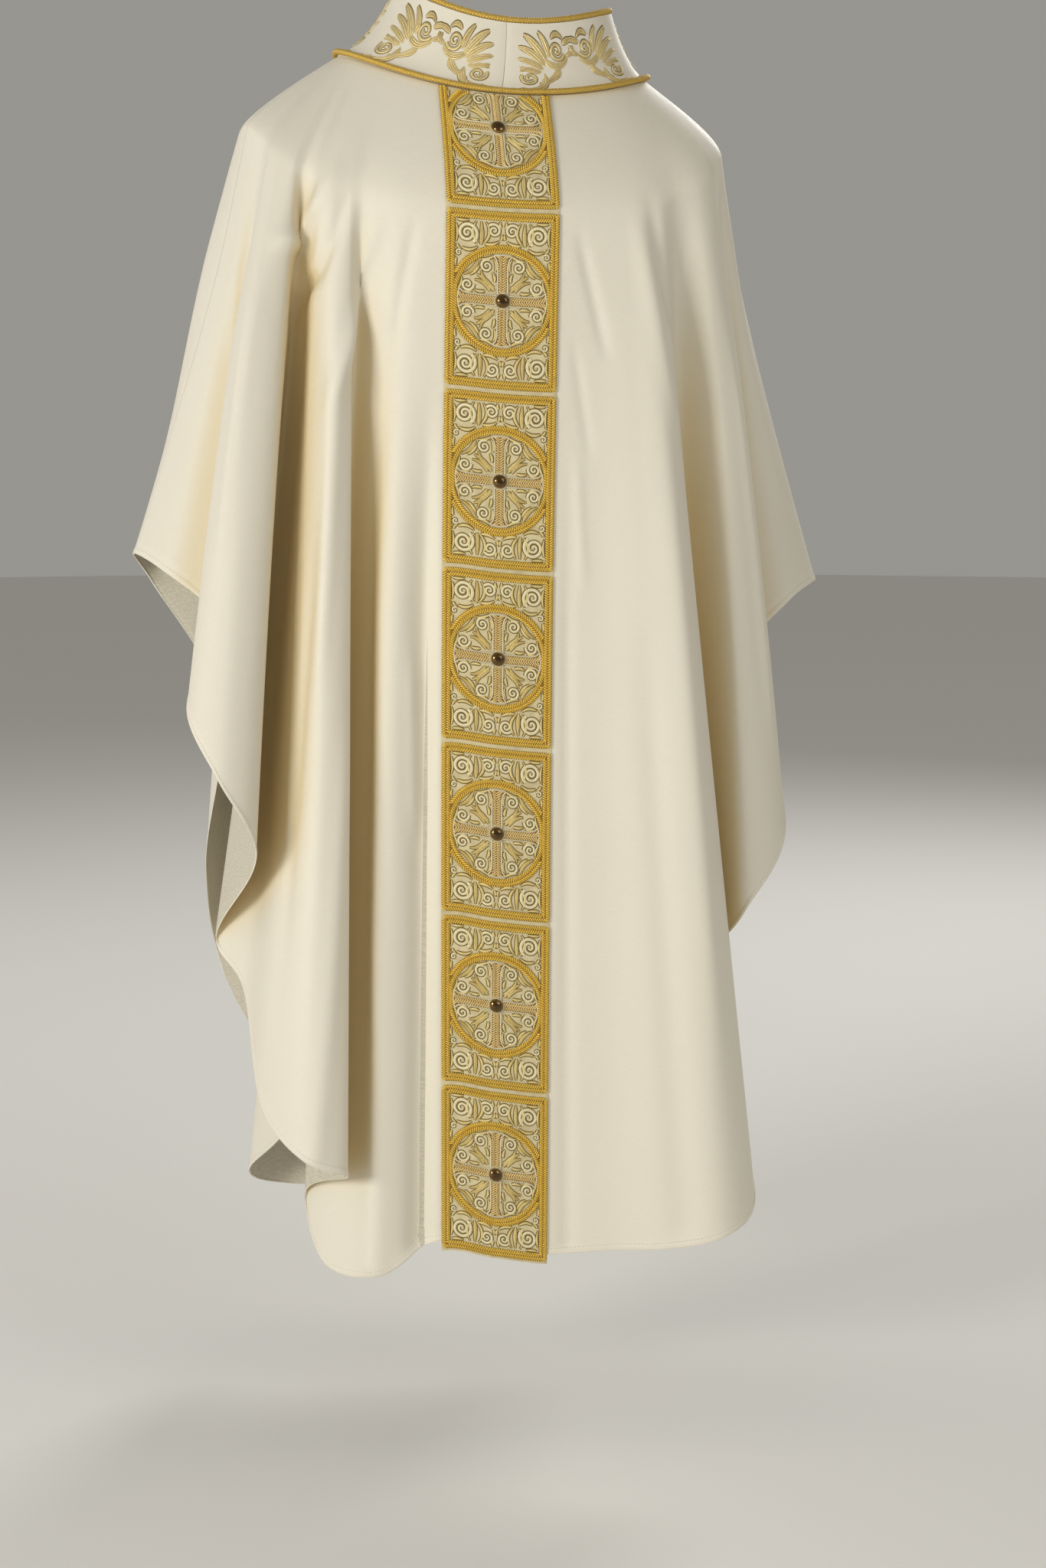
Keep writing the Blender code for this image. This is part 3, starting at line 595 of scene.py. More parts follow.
def new_piece(name, points, faces, spots, finishes, inside=None, sharp=60):
    """Make a smooth mesh object with cloth coordinates in metres, and let it ride on the garment."""
    mesh = bpy.data.meshes.new(name)
    mesh.from_pydata(np.asarray(points).tolist(), [], faces)
    for finish in finishes:
        mesh.materials.append(finish)
    corners = np.empty(len(mesh.loops), dtype=np.int32)
    mesh.loops.foreach_get("vertex_index", corners)
    layer = mesh.uv_layers.new(name="cloth")
    layer.data.foreach_set("uv", np.asarray(spots, dtype=np.float32)[corners].reshape(-1))
    if inside is not None:
        mesh.polygons.foreach_set("material_index", np.asarray(inside, dtype=np.int32))
    mesh.shade_smooth()
    mesh.set_sharp_from_angle(angle=math.radians(sharp))
    mesh.update()
    obj = bpy.data.objects.new(name, mesh)
    bpy.context.scene.collection.objects.link(obj)
    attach(obj, "root")
    return obj


def quads(rows, columns, start=0, flip=False):
    """Faces of a grid of points, seen from outside unless flipped."""
    corner = np.arange(rows - 1)[:, None] * columns + np.arange(columns - 1)[None, :] + start
    corner = corner.reshape(-1)
    faces = np.stack([corner, corner + columns, corner + columns + 1, corner + 1], axis=1)
    return (faces[:, ::-1] if flip else faces).tolist()


def rim_of(rows, columns, start=0):
    """Points round the edge of a grid, in order."""
    ring = [(0, column) for column in range(columns)]
    ring += [(row, columns - 1) for row in range(1, rows)]
    ring += [(rows - 1, column) for column in range(columns - 2, -1, -1)]
    ring += [(row, 0) for row in range(rows - 2, 0, -1)]
    return [start + row * columns + column for row, column in ring]


def cloth_shell(name, outer, inner, marks, finishes, coarse=2):
    """Closed thin shell. Its inner skin has every second point of the outer one."""
    inner = inner[::coarse, ::coarse]
    rows, columns = outer.shape[:2]
    inner_rows, inner_columns = inner.shape[:2]
    points = np.concatenate((outer.reshape(-1, 3), inner.reshape(-1, 3)))
    spots = np.concatenate((marks.reshape(-1, 2), marks[::coarse, ::coarse].reshape(-1, 2)))
    faces = quads(rows, columns)
    sides = [0] * len(faces)
    lining = quads(inner_rows, inner_columns, rows * columns, True)
    faces += lining
    sides += [len(finishes) - 1] * len(lining)
    fine = rim_of(rows, columns)
    plain = rim_of(inner_rows, inner_columns, rows * columns)
    for index, mark in enumerate(plain):
        after = plain[(index + 1) % len(plain)]
        edge = [fine[(index * coarse + step) % len(fine)] for step in range(coarse + 1)]
        faces.append(edge + [after, mark])
        sides.append(0)
    return new_piece(name, points, faces, spots, finishes, sides)


def linear(red, green, blue):
    """Scene colour from a screen colour of 0 to 255."""
    values = []
    for value in (red / 255, green / 255, blue / 255):
        values.append(value / 12.92 if value <= 0.04045 else ((value + 0.055) / 1.055) ** 2.4)
    return tuple(values)


class Finish:
    """Material built node by node round one shader."""

    def __init__(self, name, colour, roughness, metallic=0.0):
        self.material = bpy.data.materials.new(name)
        self.material.use_nodes = True
        self.tree = self.material.node_tree
        self.shader = self.tree.nodes["Principled BSDF"]
        self.set("Base Color", (*colour, 1.0))
        self.set("Roughness", roughness)
        self.set("Metallic", metallic)
        self.material.diffuse_color = (*colour, 1.0)
        self.place = self.node("ShaderNodeTexCoord")

    def set(self, socket, value):
        """Give one of the shader's sockets a value."""
        self.shader.inputs[socket].default_value = value

    def node(self, kind, **settings):
        """Add a node. A setting is a property of the node or the value of one of its inputs."""
        node = self.tree.nodes.new(kind)
        for key, value in settings.items():
            if hasattr(node, key):
                setattr(node, key, value)
            else:
                node.inputs[key.replace("_", " ")].default_value = value
        return node

    def link(self, output, socket):
        """Join an output to an input."""
        self.tree.links.new(output, socket)

    def scaled(self, across, down, turn=0.0):
        """Cloth coordinates in repeats of the given sizes."""
        mapping = self.node("ShaderNodeMapping")
        mapping.inputs["Scale"].default_value = (1 / across, 1 / down, 1.0)
        mapping.inputs["Rotation"].default_value = (0.0, 0.0, turn)
        self.link(self.place.outputs["UV"], mapping.inputs["Vector"])
        return mapping.outputs["Vector"]

    def noise(self, size, detail=2.0, vector=None, roughness=0.5):
        """Noise whose patches are about size metres."""
        noise = self.node("ShaderNodeTexNoise", Scale=1.0 / size, Detail=detail, Roughness=roughness)
        self.link(vector or self.place.outputs["Object"], noise.inputs["Vector"])
        return noise.outputs["Fac"]

    def wave(self, vector, distortion=0.0, bands="X"):
        """Rounded bands, one for each repeat."""
        wave = self.node("ShaderNodeTexWave", wave_type="BANDS", bands_direction=bands,
                         Scale=math.pi / 10, Distortion=distortion)
        self.link(vector, wave.inputs["Vector"])
        return wave.outputs["Fac"]

    def ramp(self, value, stops):
        """Colours or greys picked by a value."""
        ramp = self.node("ShaderNodeValToRGB")
        elements = ramp.color_ramp.elements
        while len(elements) < len(stops):
            elements.new(0.5)
        for element, (position, colour) in zip(elements, stops):
            element.position = position
            element.color = (*colour, 1.0) if hasattr(colour, "__len__") else (colour, colour, colour, 1.0)
        self.link(value, ramp.inputs["Fac"])
        return ramp.outputs["Color"]

    def mix(self, share, first, second, how="MIX"):
        """Mix of two colours, each an output or a fixed colour."""
        mix = self.node("ShaderNodeMix", data_type="RGBA", blend_type=how)
        for socket, value in ((mix.inputs[0], share), (mix.inputs[6], first), (mix.inputs[7], second)):
            if hasattr(value, "links"):
                self.link(value, socket)
            elif hasattr(value, "__len__"):
                socket.default_value = (*value, 1.0)
            else:
                socket.default_value = value
        return mix.outputs[2]

    def sum(self, first, second, how="ADD"):
        """Sum or product of two values."""
        maths = self.node("ShaderNodeMath", operation=how)
        for socket, value in zip(maths.inputs, (first, second)):
            if hasattr(value, "links"):
                self.link(value, socket)
            else:
                socket.default_value = value
        return maths.outputs[0]

    def fold_shade_share(self, reach, low, high):
        """Share of painted shade from ambient occlusion: one in the depth of a fold, nought on open cloth."""
        open_sky = self.node("ShaderNodeAmbientOcclusion", samples=6, Distance=reach)
        return self.ramp(open_sky.outputs["AO"], [(low, 1.0), (high, 0.0)])

    def bump(self, height, distance, strength=1.0):
        """Raise the surface by a height pattern, distance metres high."""
        bump = self.node("ShaderNodeBump", Strength=strength, Distance=distance)
        self.link(height, bump.inputs["Height"])
        self.link(bump.outputs["Normal"], self.shader.inputs["Normal"])

    def colour(self, output):
        """Let a pattern set the base colour."""
        self.link(output, self.shader.inputs["Base Color"])


def darker(colour, share):
    """The same colour at a share of its brightness."""
    return tuple(value * share for value in colour)


def cream_cloth(settings):
    """Matt-satin weave with fine ribs across and a few metallic threads, with painted shade tinting the cream warmer
    and darker in the depth of its folds.
    """
    cream = tuple(settings.cream)
    finish = Finish("cream vestment cloth", cream, 0.56)
    ribs = finish.wave(finish.scaled(0.0011, 0.0011), bands="Y")
    threads = finish.wave(finish.scaled(0.0009, 0.0009), bands="X")
    slubs = finish.noise(1.0, 2.0, finish.scaled(0.012, 0.0016))
    patches = finish.noise(0.09, 3.0)
    flecks = finish.ramp(finish.noise(1.0, 1.0, finish.scaled(0.0030, 0.0013)), [(0.66, 0.0), (0.74, 1.0)])
    tone = finish.mix(patches, darker(cream, 0.95), cream)
    tone = finish.mix(slubs, tone, darker(cream, 1.03))
    tone = finish.mix(finish.sum(flecks, 0.35, "MULTIPLY"), tone, (0.80, 0.66, 0.36))
    # Painted shade: the cream is multiplied by the hollow tint wherever ambient occlusion finds the depth of a fold.
    painted_fold_shade = finish.mix(1.0, tone, settings.hollow, "MULTIPLY")
    finish.colour(finish.mix(finish.fold_shade_share(0.13, 0.30, 0.78), tone, painted_fold_shade))
    rough = finish.ramp(flecks, [(0.0, 0.47), (1.0, 0.32)])
    finish.link(rough, finish.shader.inputs["Roughness"])
    height = finish.sum(finish.sum(ribs, threads), finish.sum(slubs, 1.4, "MULTIPLY"))
    finish.bump(height, 0.00016, 0.5)
    finish.set("Sheen Weight", 0.18)
    finish.set("Sheen Roughness", 0.40)
    finish.set("Sheen Tint", (1.0, 0.96, 0.86, 1.0))
    return finish.material


def cloth_reverse(settings):
    """The cloth's wrong side, rougher, with floating threads."""
    beige = tuple(settings.reverse)
    finish = Finish("cloth reverse", beige, 0.82)
    floats = finish.noise(1.0, 3.0, finish.scaled(0.010, 0.0015), 0.7)
    grain = finish.noise(1.0, 2.0, finish.scaled(0.0018, 0.0018), 0.6)
    tone = finish.mix(finish.ramp(floats, [(0.35, 0.0), (0.65, 1.0)]), darker(beige, 0.80), darker(beige, 1.08))
    tone = finish.mix(finish.ramp(grain, [(0.60, 0.0), (0.70, 0.5)]), tone, darker(beige, 0.62))
    finish.colour(tone)
    finish.bump(finish.sum(floats, grain), 0.0004, 0.6)
    finish.set("Sheen Weight", 0.15)
    return finish.material


def plain_ground(name, colour):
    """Smooth satin ground cloth."""
    finish = Finish(name, colour, 0.5)
    weave = finish.wave(finish.scaled(0.0010, 0.0010), 0.4, "Y")
    patches = finish.noise(0.03, 3.0)
    finish.colour(finish.mix(patches, darker(colour, 0.93), darker(colour, 1.04)))
    finish.bump(weave, 0.00012, 0.5)
    finish.set("Sheen Weight", 0.25)
    return finish.material


def embroidered_ground(name, colour, gold):
    """Ground cloth filled with fine rows of stitches, golden in soft patches, with painted shade darkening the
    grooves between the rows.
    """
    finish = Finish(name, colour, 0.6)
    rows = finish.wave(finish.scaled(0.0014, 0.0014, 0.5), 1.6, "Y")
    patches = finish.ramp(finish.noise(0.012, 2.0), [(0.42, 0.0), (0.66, 0.42)])
    tone = finish.mix(patches, colour, blend(np.array(colour), np.array(gold), 0.6))
    # Painted shade: darker in the grooves between the rows of stitches.
    tone = finish.mix(finish.ramp(rows, [(0.0, 0.45), (0.4, 0.0)]), tone, darker(colour, 0.55))
    finish.colour(tone)
    finish.bump(rows, 0.0003, 0.7)
    finish.set("Sheen Weight", 0.2)
    return finish.material


def metal_thread(name, colour, roughness, metallic, pitch=0.0006, dark=0.45):
    """Thread wound with metal foil. Its fine windings run across each stitch, with painted shade darkening the
    grooves between them.
    """
    finish = Finish(name, colour, roughness, metallic)
    windings = finish.wave(finish.scaled(pitch, pitch), 0.3, "Y")
    patches = finish.noise(0.006, 2.0)
    tone = finish.mix(patches, darker(colour, 0.86), darker(colour, 1.10))
    # Painted shade: darker in the grooves between the windings.
    tone = finish.mix(finish.ramp(windings, [(0.0, 0.7), (0.35, 0.0)]), tone, darker(colour, dark))
    finish.colour(tone)
    finish.bump(windings, 0.00018, 0.6)
    finish.set("Anisotropic", 0.3)
    return finish.material


def amber_stone(colour):
    """Polished glass stone on foil, with painted shade darkening its middle and a painted reflection brightening it
    towards the rim.
    """
    finish = Finish("amber stone", colour, 0.16, 0.9)
    radius = finish.node("ShaderNodeVectorMath", operation="LENGTH")
    finish.link(finish.place.outputs["UV"], radius.inputs[0])
    depth = finish.sum(radius.outputs["Value"], 1 / GEM_RADIUS, "MULTIPLY")
    # Painted shade in the middle and a painted reflection towards the rim.
    tone = finish.ramp(depth, [(0.20, darker(colour, 0.55)), (0.70, colour), (0.95, darker(colour, 1.9))])
    finish.colour(tone)
    finish.set("Coat Weight", 0.6)
    finish.set("Coat Roughness", 0.04)
    return finish.material


def stage_finish(colour):
    """Plain matt floor with the faintest mottle."""
    finish = Finish("pale floor", colour, 0.85)
    finish.colour(finish.mix(finish.noise(0.6, 2.0), darker(colour, 0.985), colour))
    return finish.material


def hem_stitches(panel, name, finish, length, gap):
    """Row of short stitches along the turned hem."""
    line = np.array([[np.interp(0.0070, (panel.down[-1] - panel.down)[::-1, column], field[::-1, column, axis])
                      for axis in range(3)]
                     for field in (panel.grid, panel.skin) for column in range(panel.grid.shape[1])])
    points, out = np.split(line, 2)
    run = run_along(points, 0)
    starts = np.arange(0.004, run[-1] - 0.006, length + gap)
    work = Needlework()
    for start in starts:
        at = np.linspace(start, start + length, 4)
        centre = np.stack([np.interp(at, run, points[:, axis]) for axis in range(3)], axis=1)
        rise = unit(np.stack([np.interp(at, run, out[:, axis]) for axis in range(3)], axis=1))
        along = unit(np.gradient(centre, axis=0))
        beside = np.cross(rise, along)
        height = np.array([-0.0002, 0.0004, 0.0004, -0.0002])[:, None]
        rows = [centre + rise * (height - 0.0003) - beside * 0.00035, centre + rise * height,
                centre + rise * (height - 0.0003) + beside * 0.00035]
        corner = np.arange(3)[:, None] * 3 + np.arange(2)[None, :]
        corner = corner.reshape(-1)
        marks = np.zeros((12, 2))
        marks[:, 1] = np.repeat(at, 3)
        work.add(np.stack(rows, axis=1).reshape(-1, 3),
                 np.stack([corner, corner + 1, corner + 4, corner + 3], axis=1), marks)
    return work.make(name, finish)


def make_panel(name, node, first, last, rows, columns, settings):
    """Cut one panel of the poncho, hem it and hang it where its solid hangs."""
    cloth = PanelCloth(first, last, rows, columns, settings.crease_depth)
    marks = np.stack([cloth.across - cloth.across[:, -1:] / 2, cloth.down], axis=-1)
    inner = cloth.grid - cloth.skin * settings.wall
    panel = cloth_shell(name, cloth.grid, inner, marks, [cream_cloth(settings), cloth_reverse(settings)])
    thread = metal_thread(name + " hem thread", darker(tuple(settings.cream), 0.86), 0.6, 0.0)
    stitches = hem_stitches(cloth, name + "_hem_stitches", thread, settings.stitch, settings.stitch * 0.35)
    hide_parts(node)
    return panel


def scroll_path(scroll, count=44):
    """Points of a spiral that winds outwards."""
    turn = np.linspace(0.0, 1.0, count)
    angle = math.radians(scroll.start) + scroll.way * 2 * math.pi * scroll.turns * turn
    radius = scroll.radius * (0.10 + 0.90 * turn)
    return np.stack([scroll.x + radius * np.cos(angle), scroll.y + radius * np.sin(angle)], axis=1) * MM


def leaf_path(leaf, count=10):
    """Points of a leaf stroke that bends to one side."""
    start = np.array([leaf.x_a, leaf.y_a])
    end = np.array([leaf.x_b, leaf.y_b])
    way = end - start
    corner = (start + end) / 2 + np.array([-way[1], way[0]]) * leaf.bend * 2
    share = np.linspace(0.0, 1.0, count)[:, None]
    return quadratic(start, corner, end, share) * MM


def leaf_halves(leaf, count=10):
    """Half widths of a leaf stroke, fullest past its middle."""
    share = np.linspace(0.0, 1.0, count)
    return leaf.width * 0.5 * MM * (0.22 + 0.78 * np.sin(math.pi * share ** 0.75) ** 0.8)


def draw_ornament(work, foliage, under, surface, scrolls, leaves, flip_x, flip_y, origin, base, height, limits):
    """Sew scrolls and leaves over a dark underlay, painted shade round each stroke, mirrored as asked, and leave out
    what passes its limits.
    """
    sign = np.array([flip_x, flip_y])
    low, high = limits
    for scroll in scrolls:
        path = scroll_path(scroll) * sign + origin
        if np.all((path[:, 1] > low) & (path[:, 1] < high)):
            halves = scroll.width * 0.5 * MM * np.linspace(0.65, 1.0, len(path))
            work.ribbons(surface, path[None], halves[None], base + 0.0002, height, 6, 0.06)
            # Painted shade: a wider dark underlay round each stroke.
            under.ribbons(surface, path[None], halves[None] + SHADE_RIM, base, 0.0008, 4, 0.02)
    for leaf in leaves:
        path = leaf_path(leaf) * sign + origin
        if not np.all((path[:, 1] > low) & (path[:, 1] < high)):
            continue
        halves = leaf_halves(leaf)
        under.ribbons(surface, path[None], halves[None] + SHADE_RIM, base, 0.0007, 4, 0.1)
        if leaf.width < SPLIT_LEAF:
            foliage.ribbons(surface, path[None], halves[None], base + 0.0002, height * 1.1, 5, 0.3)
            continue
        along = unit(np.gradient(path, axis=0))
        beside = np.stack([-along[:, 1], along[:, 0]], axis=1)
        for offset, share, rise in ((-0.62, 0.40, 0.9), (0.62, 0.40, 0.9), (0.0, 0.40, 1.3)):
            rib = path + beside * (halves * offset)[:, None]
            foliage.ribbons(surface, rib[None], (halves * share)[None], base + 0.0002, height * rise, 5, 0.3)


def slanted_stitches(work, surface, points, beside, along, offset, reach, slant, half, base, height):
    """Short domed stitches across one row of a braid."""
    share = np.linspace(-1.0, 1.0, 5)[None, :, None]
    centre = points + beside * offset
    way = beside * reach + along * slant
    paths = centre[:, None] + way[:, None] * share
    halves = np.full(paths.shape[:2], half) * np.array([0.55, 1.0, 1.05, 1.0, 0.55])
    work.ribbons(surface, paths, halves, base, height, 4, 0.3)


def braid_shade_ribbon(under, surface, corners, base, width):
    """Dark ribbon under a braid, along a line of corners: painted shade that shows between the braid's stitches."""
    for start, end in zip(corners, corners[1:]):
        length = np.linalg.norm(end - start)
        path = start + (end - start) * np.linspace(0.0, 1.0, max(2, int(length / 0.006) + 1))[:, None]
        under.ribbons(surface, path[None], np.full((1, len(path)), width * 0.52), base, 0.0005, 5, 0.01)


def rectangle(half, top, bottom):
    """Corners of a rectangle, from the upper left one down, across, up and back."""
    return np.array([(-half, top), (-half, bottom), (half, bottom), (half, top), (-half, top)])


def frame_rows(number, bottom):
    """The two rows of a frame's braid, as lines of corners. The neck seam cuts the first one short."""
    top = bottom - FRAME_TALL
    rows = []
    for inset in (BRAID * 0.25, BRAID * 0.75):
        corners = rectangle(FRAME_HALF - inset, top + inset, bottom - inset)
        if number == 1:
            corners = corners[:4]
            corners[0, 1] = corners[3, 1] = BAND_TOP + 0.001
        rows.append(corners)
    return rows


def sew_row(work, surface, line, beside_sign, settings, base, width):
    """Slanted stitches all along a line of points, one row wide."""
    line = np.asarray(line, float)
    run = run_along(line, 0)
    number = max(3, int(round(run[-1] / settings.braid_pitch)))
    at = (np.arange(number) + 0.5) / number * run[-1]
    middle = np.stack([np.interp(at, run, line[:, axis]) for axis in range(2)], axis=1)
    ahead = np.stack([np.interp(at + 0.0004, run, line[:, axis]) for axis in range(2)], axis=1)
    behind = np.stack([np.interp(at - 0.0004, run, line[:, axis]) for axis in range(2)], axis=1)
    along = unit(ahead - behind)
    beside = np.stack([-along[:, 1], along[:, 0]], axis=1)
    slant = settings.braid_pitch * 0.62 * beside_sign
    slanted_stitches(work, surface, middle, beside, along, 0.0, width * 0.5, slant,
                     settings.braid_pitch * 0.39, base, settings.braid_height)


def make_frame(number, surface, bottom, gold, shadow, settings):
    """Gold braid round one panel of the orphrey."""
    work = Needlework()
    under = Needlework()
    rows = frame_rows(number, bottom)
    for side, row in zip((1, -1), rows):
        sew_row(work, surface, row, side, settings, TRIM_LIFT + 0.0002, BRAID * 0.5)
    middle = (rows[0] + rows[1]) / 2
    # Painted shade: a dark ribbon under the braid that shows in the gaps between its stitches.
    braid_shade_ribbon(under, surface, middle, TRIM_LIFT, BRAID)
    piece = work.make("braid_frame_%d" % number, gold)
    ground = under.make("braid_frame_ground_%d" % number, shadow)
    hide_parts("frame_%d" % number)
    return piece


def make_ring(number, surface, middle, gold, shadow, settings):
    """Round of braid in one panel. Its outer row stops where it meets the frame."""
    work = Needlework()
    under = Needlework()
    width = RING_OUTER - RING_INNER
    limit = FRAME_HALF - BRAID
    for side, share in ((1, 0.75), (-1, 0.25)):
        radius = RING_INNER + width * share
        reach = limit - width * 0.12
        if share > 0.5:
            open_turn = math.asin(reach / radius)
            spans = [(-open_turn, open_turn), (math.pi - open_turn, math.pi + open_turn)]
        else:
            spans = [(0.0, 2 * math.pi)]
        for start, end in spans:
            turn = np.linspace(start, end, max(12, int((end - start) * 30)))
            line = np.stack([np.clip(radius * np.sin(turn), -reach, reach),
                             middle - radius * np.cos(turn)], axis=1)
            line = line[line[:, 1] > BAND_TOP + 0.002]
            if len(line) < 4:
                continue
            for part in whole_runs(line, radius * 0.1):
                sew_row(work, surface, part, side, settings, TRIM_LIFT + 0.0001, width * 0.5)
    turn = np.linspace(0.0, 2 * math.pi, 97)
    radius = (RING_OUTER + RING_INNER) / 2
    line = np.stack([radius * np.sin(turn), middle - radius * np.cos(turn)], axis=1)
    for part in whole_runs(line[line[:, 1] > BAND_TOP + 0.003], radius * 0.1):
        # Painted shade: a dark ribbon under the ring's braid that shows in the gaps between its stitches.
        under.ribbons(surface, part[None], np.full((1, len(part)), width * 0.5), TRIM_LIFT - 0.0003, 0.0005, 5, 0.01)
    piece = work.make("braid_ring_%d" % number, gold)
    ground = under.make("braid_ring_ground_%d" % number, shadow)
    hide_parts("ring_%d" % number)
    return piece


def whole_runs(line, longest):
    """Split a line of points wherever two neighbours are far apart."""
    gaps = np.linalg.norm(np.diff(line, axis=0), axis=1)
    cuts = np.nonzero(gaps > longest)[0] + 1
    return [part for part in np.split(line, cuts) if len(part) > 3]


def make_cross(number, surface, middle, chevron, outline, shadow, settings):
    """Equal-armed cross of chevrons between outline threads, over a dark ribbon of painted shade that shows between
    the chevrons.
    """
    work = Needlework()
    edges = Needlework()
    under = Needlework()
    base = TRIM_LIFT
    for quarter in range(4):
        cos = (1, 0, -1, 0)[quarter]
        sin = (0, 1, 0, -1)[quarter]

        def turned(points):
            """Turn points of the upper arm to this quarter."""
            points = np.asarray(points, float)
            x, y = points[..., 0], points[..., 1]
            return np.stack([x * cos + y * sin, middle + x * sin - y * cos], axis=-1)

        reach = CROSS_ARM
        if quarter == 0:
            reach = min(reach, middle - BAND_TOP - 0.002)
        starts = np.arange(GEM_RADIUS * 0.9, reach - 0.002, settings.chevron_pitch)
        half = np.interp(starts, (CROSS_NECK, CROSS_ARM), (CROSS_HALF, CROSS_FLARE)) - 0.0010
        bar = np.linspace(0.0, reach, 20)
        # Painted shade: dark ribbon under the arm that shows between the chevrons.
        under.ribbons(surface, turned(np.stack([0 * bar, bar], axis=-1))[None],
                      np.interp(bar, (CROSS_NECK, CROSS_ARM), (CROSS_HALF, CROSS_FLARE))[None],
                      base - 0.0003, 0.0004, 5, 0.01)
        for side in (-1, 1):
            share = np.linspace(0.0, 1.0, 5)[None, :]
            x = side * half[:, None] * share
            y = starts[:, None] + half[:, None] * 0.85 * share
            y = np.minimum(y, reach)
            paths = turned(np.stack([x, y], axis=-1))
            halves = np.full(paths.shape[:2], settings.chevron_pitch * 0.30)
            work.ribbons(surface, paths, halves, base, 0.0014, 5, 0.3)
            along = np.array([GEM_RADIUS * 0.85, 0.020, CROSS_NECK, 0.044, CROSS_ARM])
            along = np.minimum(along, reach)
            wide = side * (np.interp(along, (CROSS_NECK, 0.044, CROSS_ARM),
                                     (CROSS_HALF, CROSS_HALF * 1.3, CROSS_FLARE)) + 0.0002)
            fine = np.linspace(along[0], along[-1], 22)
            edge = np.stack([np.interp(fine, along, wide), fine], axis=-1)
            edges.ribbons(surface, turned(edge)[None], np.full((1, 22), 0.0009), base, 0.0013, 5, 0.05)
        if reach == CROSS_ARM:
            x = np.linspace(-CROSS_FLARE, CROSS_FLARE, 12)
            y = CROSS_ARM + 0.0012 - 0.0012 * (x / CROSS_FLARE) ** 2
            edges.ribbons(surface, turned(np.stack([x, y], axis=-1))[None], np.full((1, 12), 0.0008),
                          base, 0.0011, 5, 0.05)
    piece = work.make("cross_chevrons_%d" % number, chevron)
    thread = edges.make("cross_outline_%d" % number, outline)
    ground = under.make("cross_ground_%d" % number, shadow)
    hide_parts("cross_%d" % number)
    return piece


def make_stone(number, surface, middle, stone, gold):
    """Domed stone with a table and a ring of small facets, in a thin gold setting."""
    sides = 32
    base = TRIM_LIFT + TRIM_WALL + SEAM_GAP
    levels = [(1.0, -0.2), (1.0, 0.10), (0.98, 0.26), (0.90, 0.50), (0.78, 0.70), (0.64, 0.84),
              (0.52, 0.91), (0.50, 0.93), (0.30, 0.98), (0.12, 1.0)]
    turn = np.arange(sides) * 2 * math.pi / sides
    spots, lifts = [], []
    for radius, height in levels:
        reach = GEM_RADIUS * 0.93 * radius * (1 + 0.012 * np.cos(8 * turn))
        spots.append(np.stack([reach * np.sin(turn), middle + reach * np.cos(turn)], axis=1))
        lifts.append(np.full(sides, base + GEM_HEIGHT * height))
    points = surface.points(np.concatenate(spots), np.concatenate(lifts))
    crown = surface.points(np.array([[0.0, middle]]), [base + GEM_HEIGHT])
    faces = []
    for level in range(len(levels) - 1):
        for side in range(sides):
            after = (side + 1) % sides
            faces.append([level * sides + side, level * sides + after,
                          (level + 1) * sides + after, (level + 1) * sides + side])
    last = (len(levels) - 1) * sides
    faces += [[last + side, last + (side + 1) % sides, len(points)] for side in range(sides)]
    marks = np.concatenate(spots + [np.array([[0.0, middle]])]) - np.array([0.0, middle])
    piece = new_piece("stone_%d" % number, np.concatenate((points, crown)), faces, marks, [stone], sharp=25)
    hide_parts("gem_%d" % number)
    setting = Needlework()
    turn = np.linspace(0.0, 2 * math.pi, 49)
    for radius, half, height in ((GEM_RADIUS * 0.97, 0.0006, 0.0024), (GEM_RADIUS * 1.11, 0.0006, 0.0013)):
        ring = np.stack([radius * np.sin(turn), middle - radius * np.cos(turn)], axis=1)
        setting.ribbons(surface, ring[None], np.full((1, 49), half), TRIM_LIFT, height, 6, 0.001)
    bezel = setting.make("stone_setting_%d" % number, gold)
    return piece


def panel_bottom(number):
    """Distance down the strip of a panel's lower edge."""
    return BAND_LENGTH - PANEL_FOOT - (PANELS - number) * PANEL_PITCH


def base_cord_centre(angle):
    """Centre of the cord that covers the neck seam, in the corner between collar and panels."""
    neck = neck_point(angle)
    along = neck_point(angle + 1.0) - neck_point(angle - 1.0)
    rise = collar_point(angle, 0.12) - np.array([0.0, 0.0, SEAM_GAP + 0.0006]) - neck
    spread = yoke_point(angle) - neck
    out = unit(np.cross(along, rise)) + unit(np.cross(along, -spread))
    squeeze = 2 / np.linalg.norm(out)
    return neck + unit(out) * (CORD_RADIUS + 3 * CORD_GAP) * squeeze


def top_cord_centre(angle):
    """Centre of the cord that sits on the collar's upper edge."""
    drop = np.array([0.0, 0.0, SEAM_GAP + 0.0006])
    top = collar_point(angle, 1.0) - drop
    below = collar_point(angle, 0.85) - drop
    inward = np.array([-math.sin(math.radians(angle)), math.cos(math.radians(angle)), 0.0])
    return top + unit(top - below) * (CORD_RADIUS + 2 * CORD_GAP) + inward * COLLAR_WALL / 2


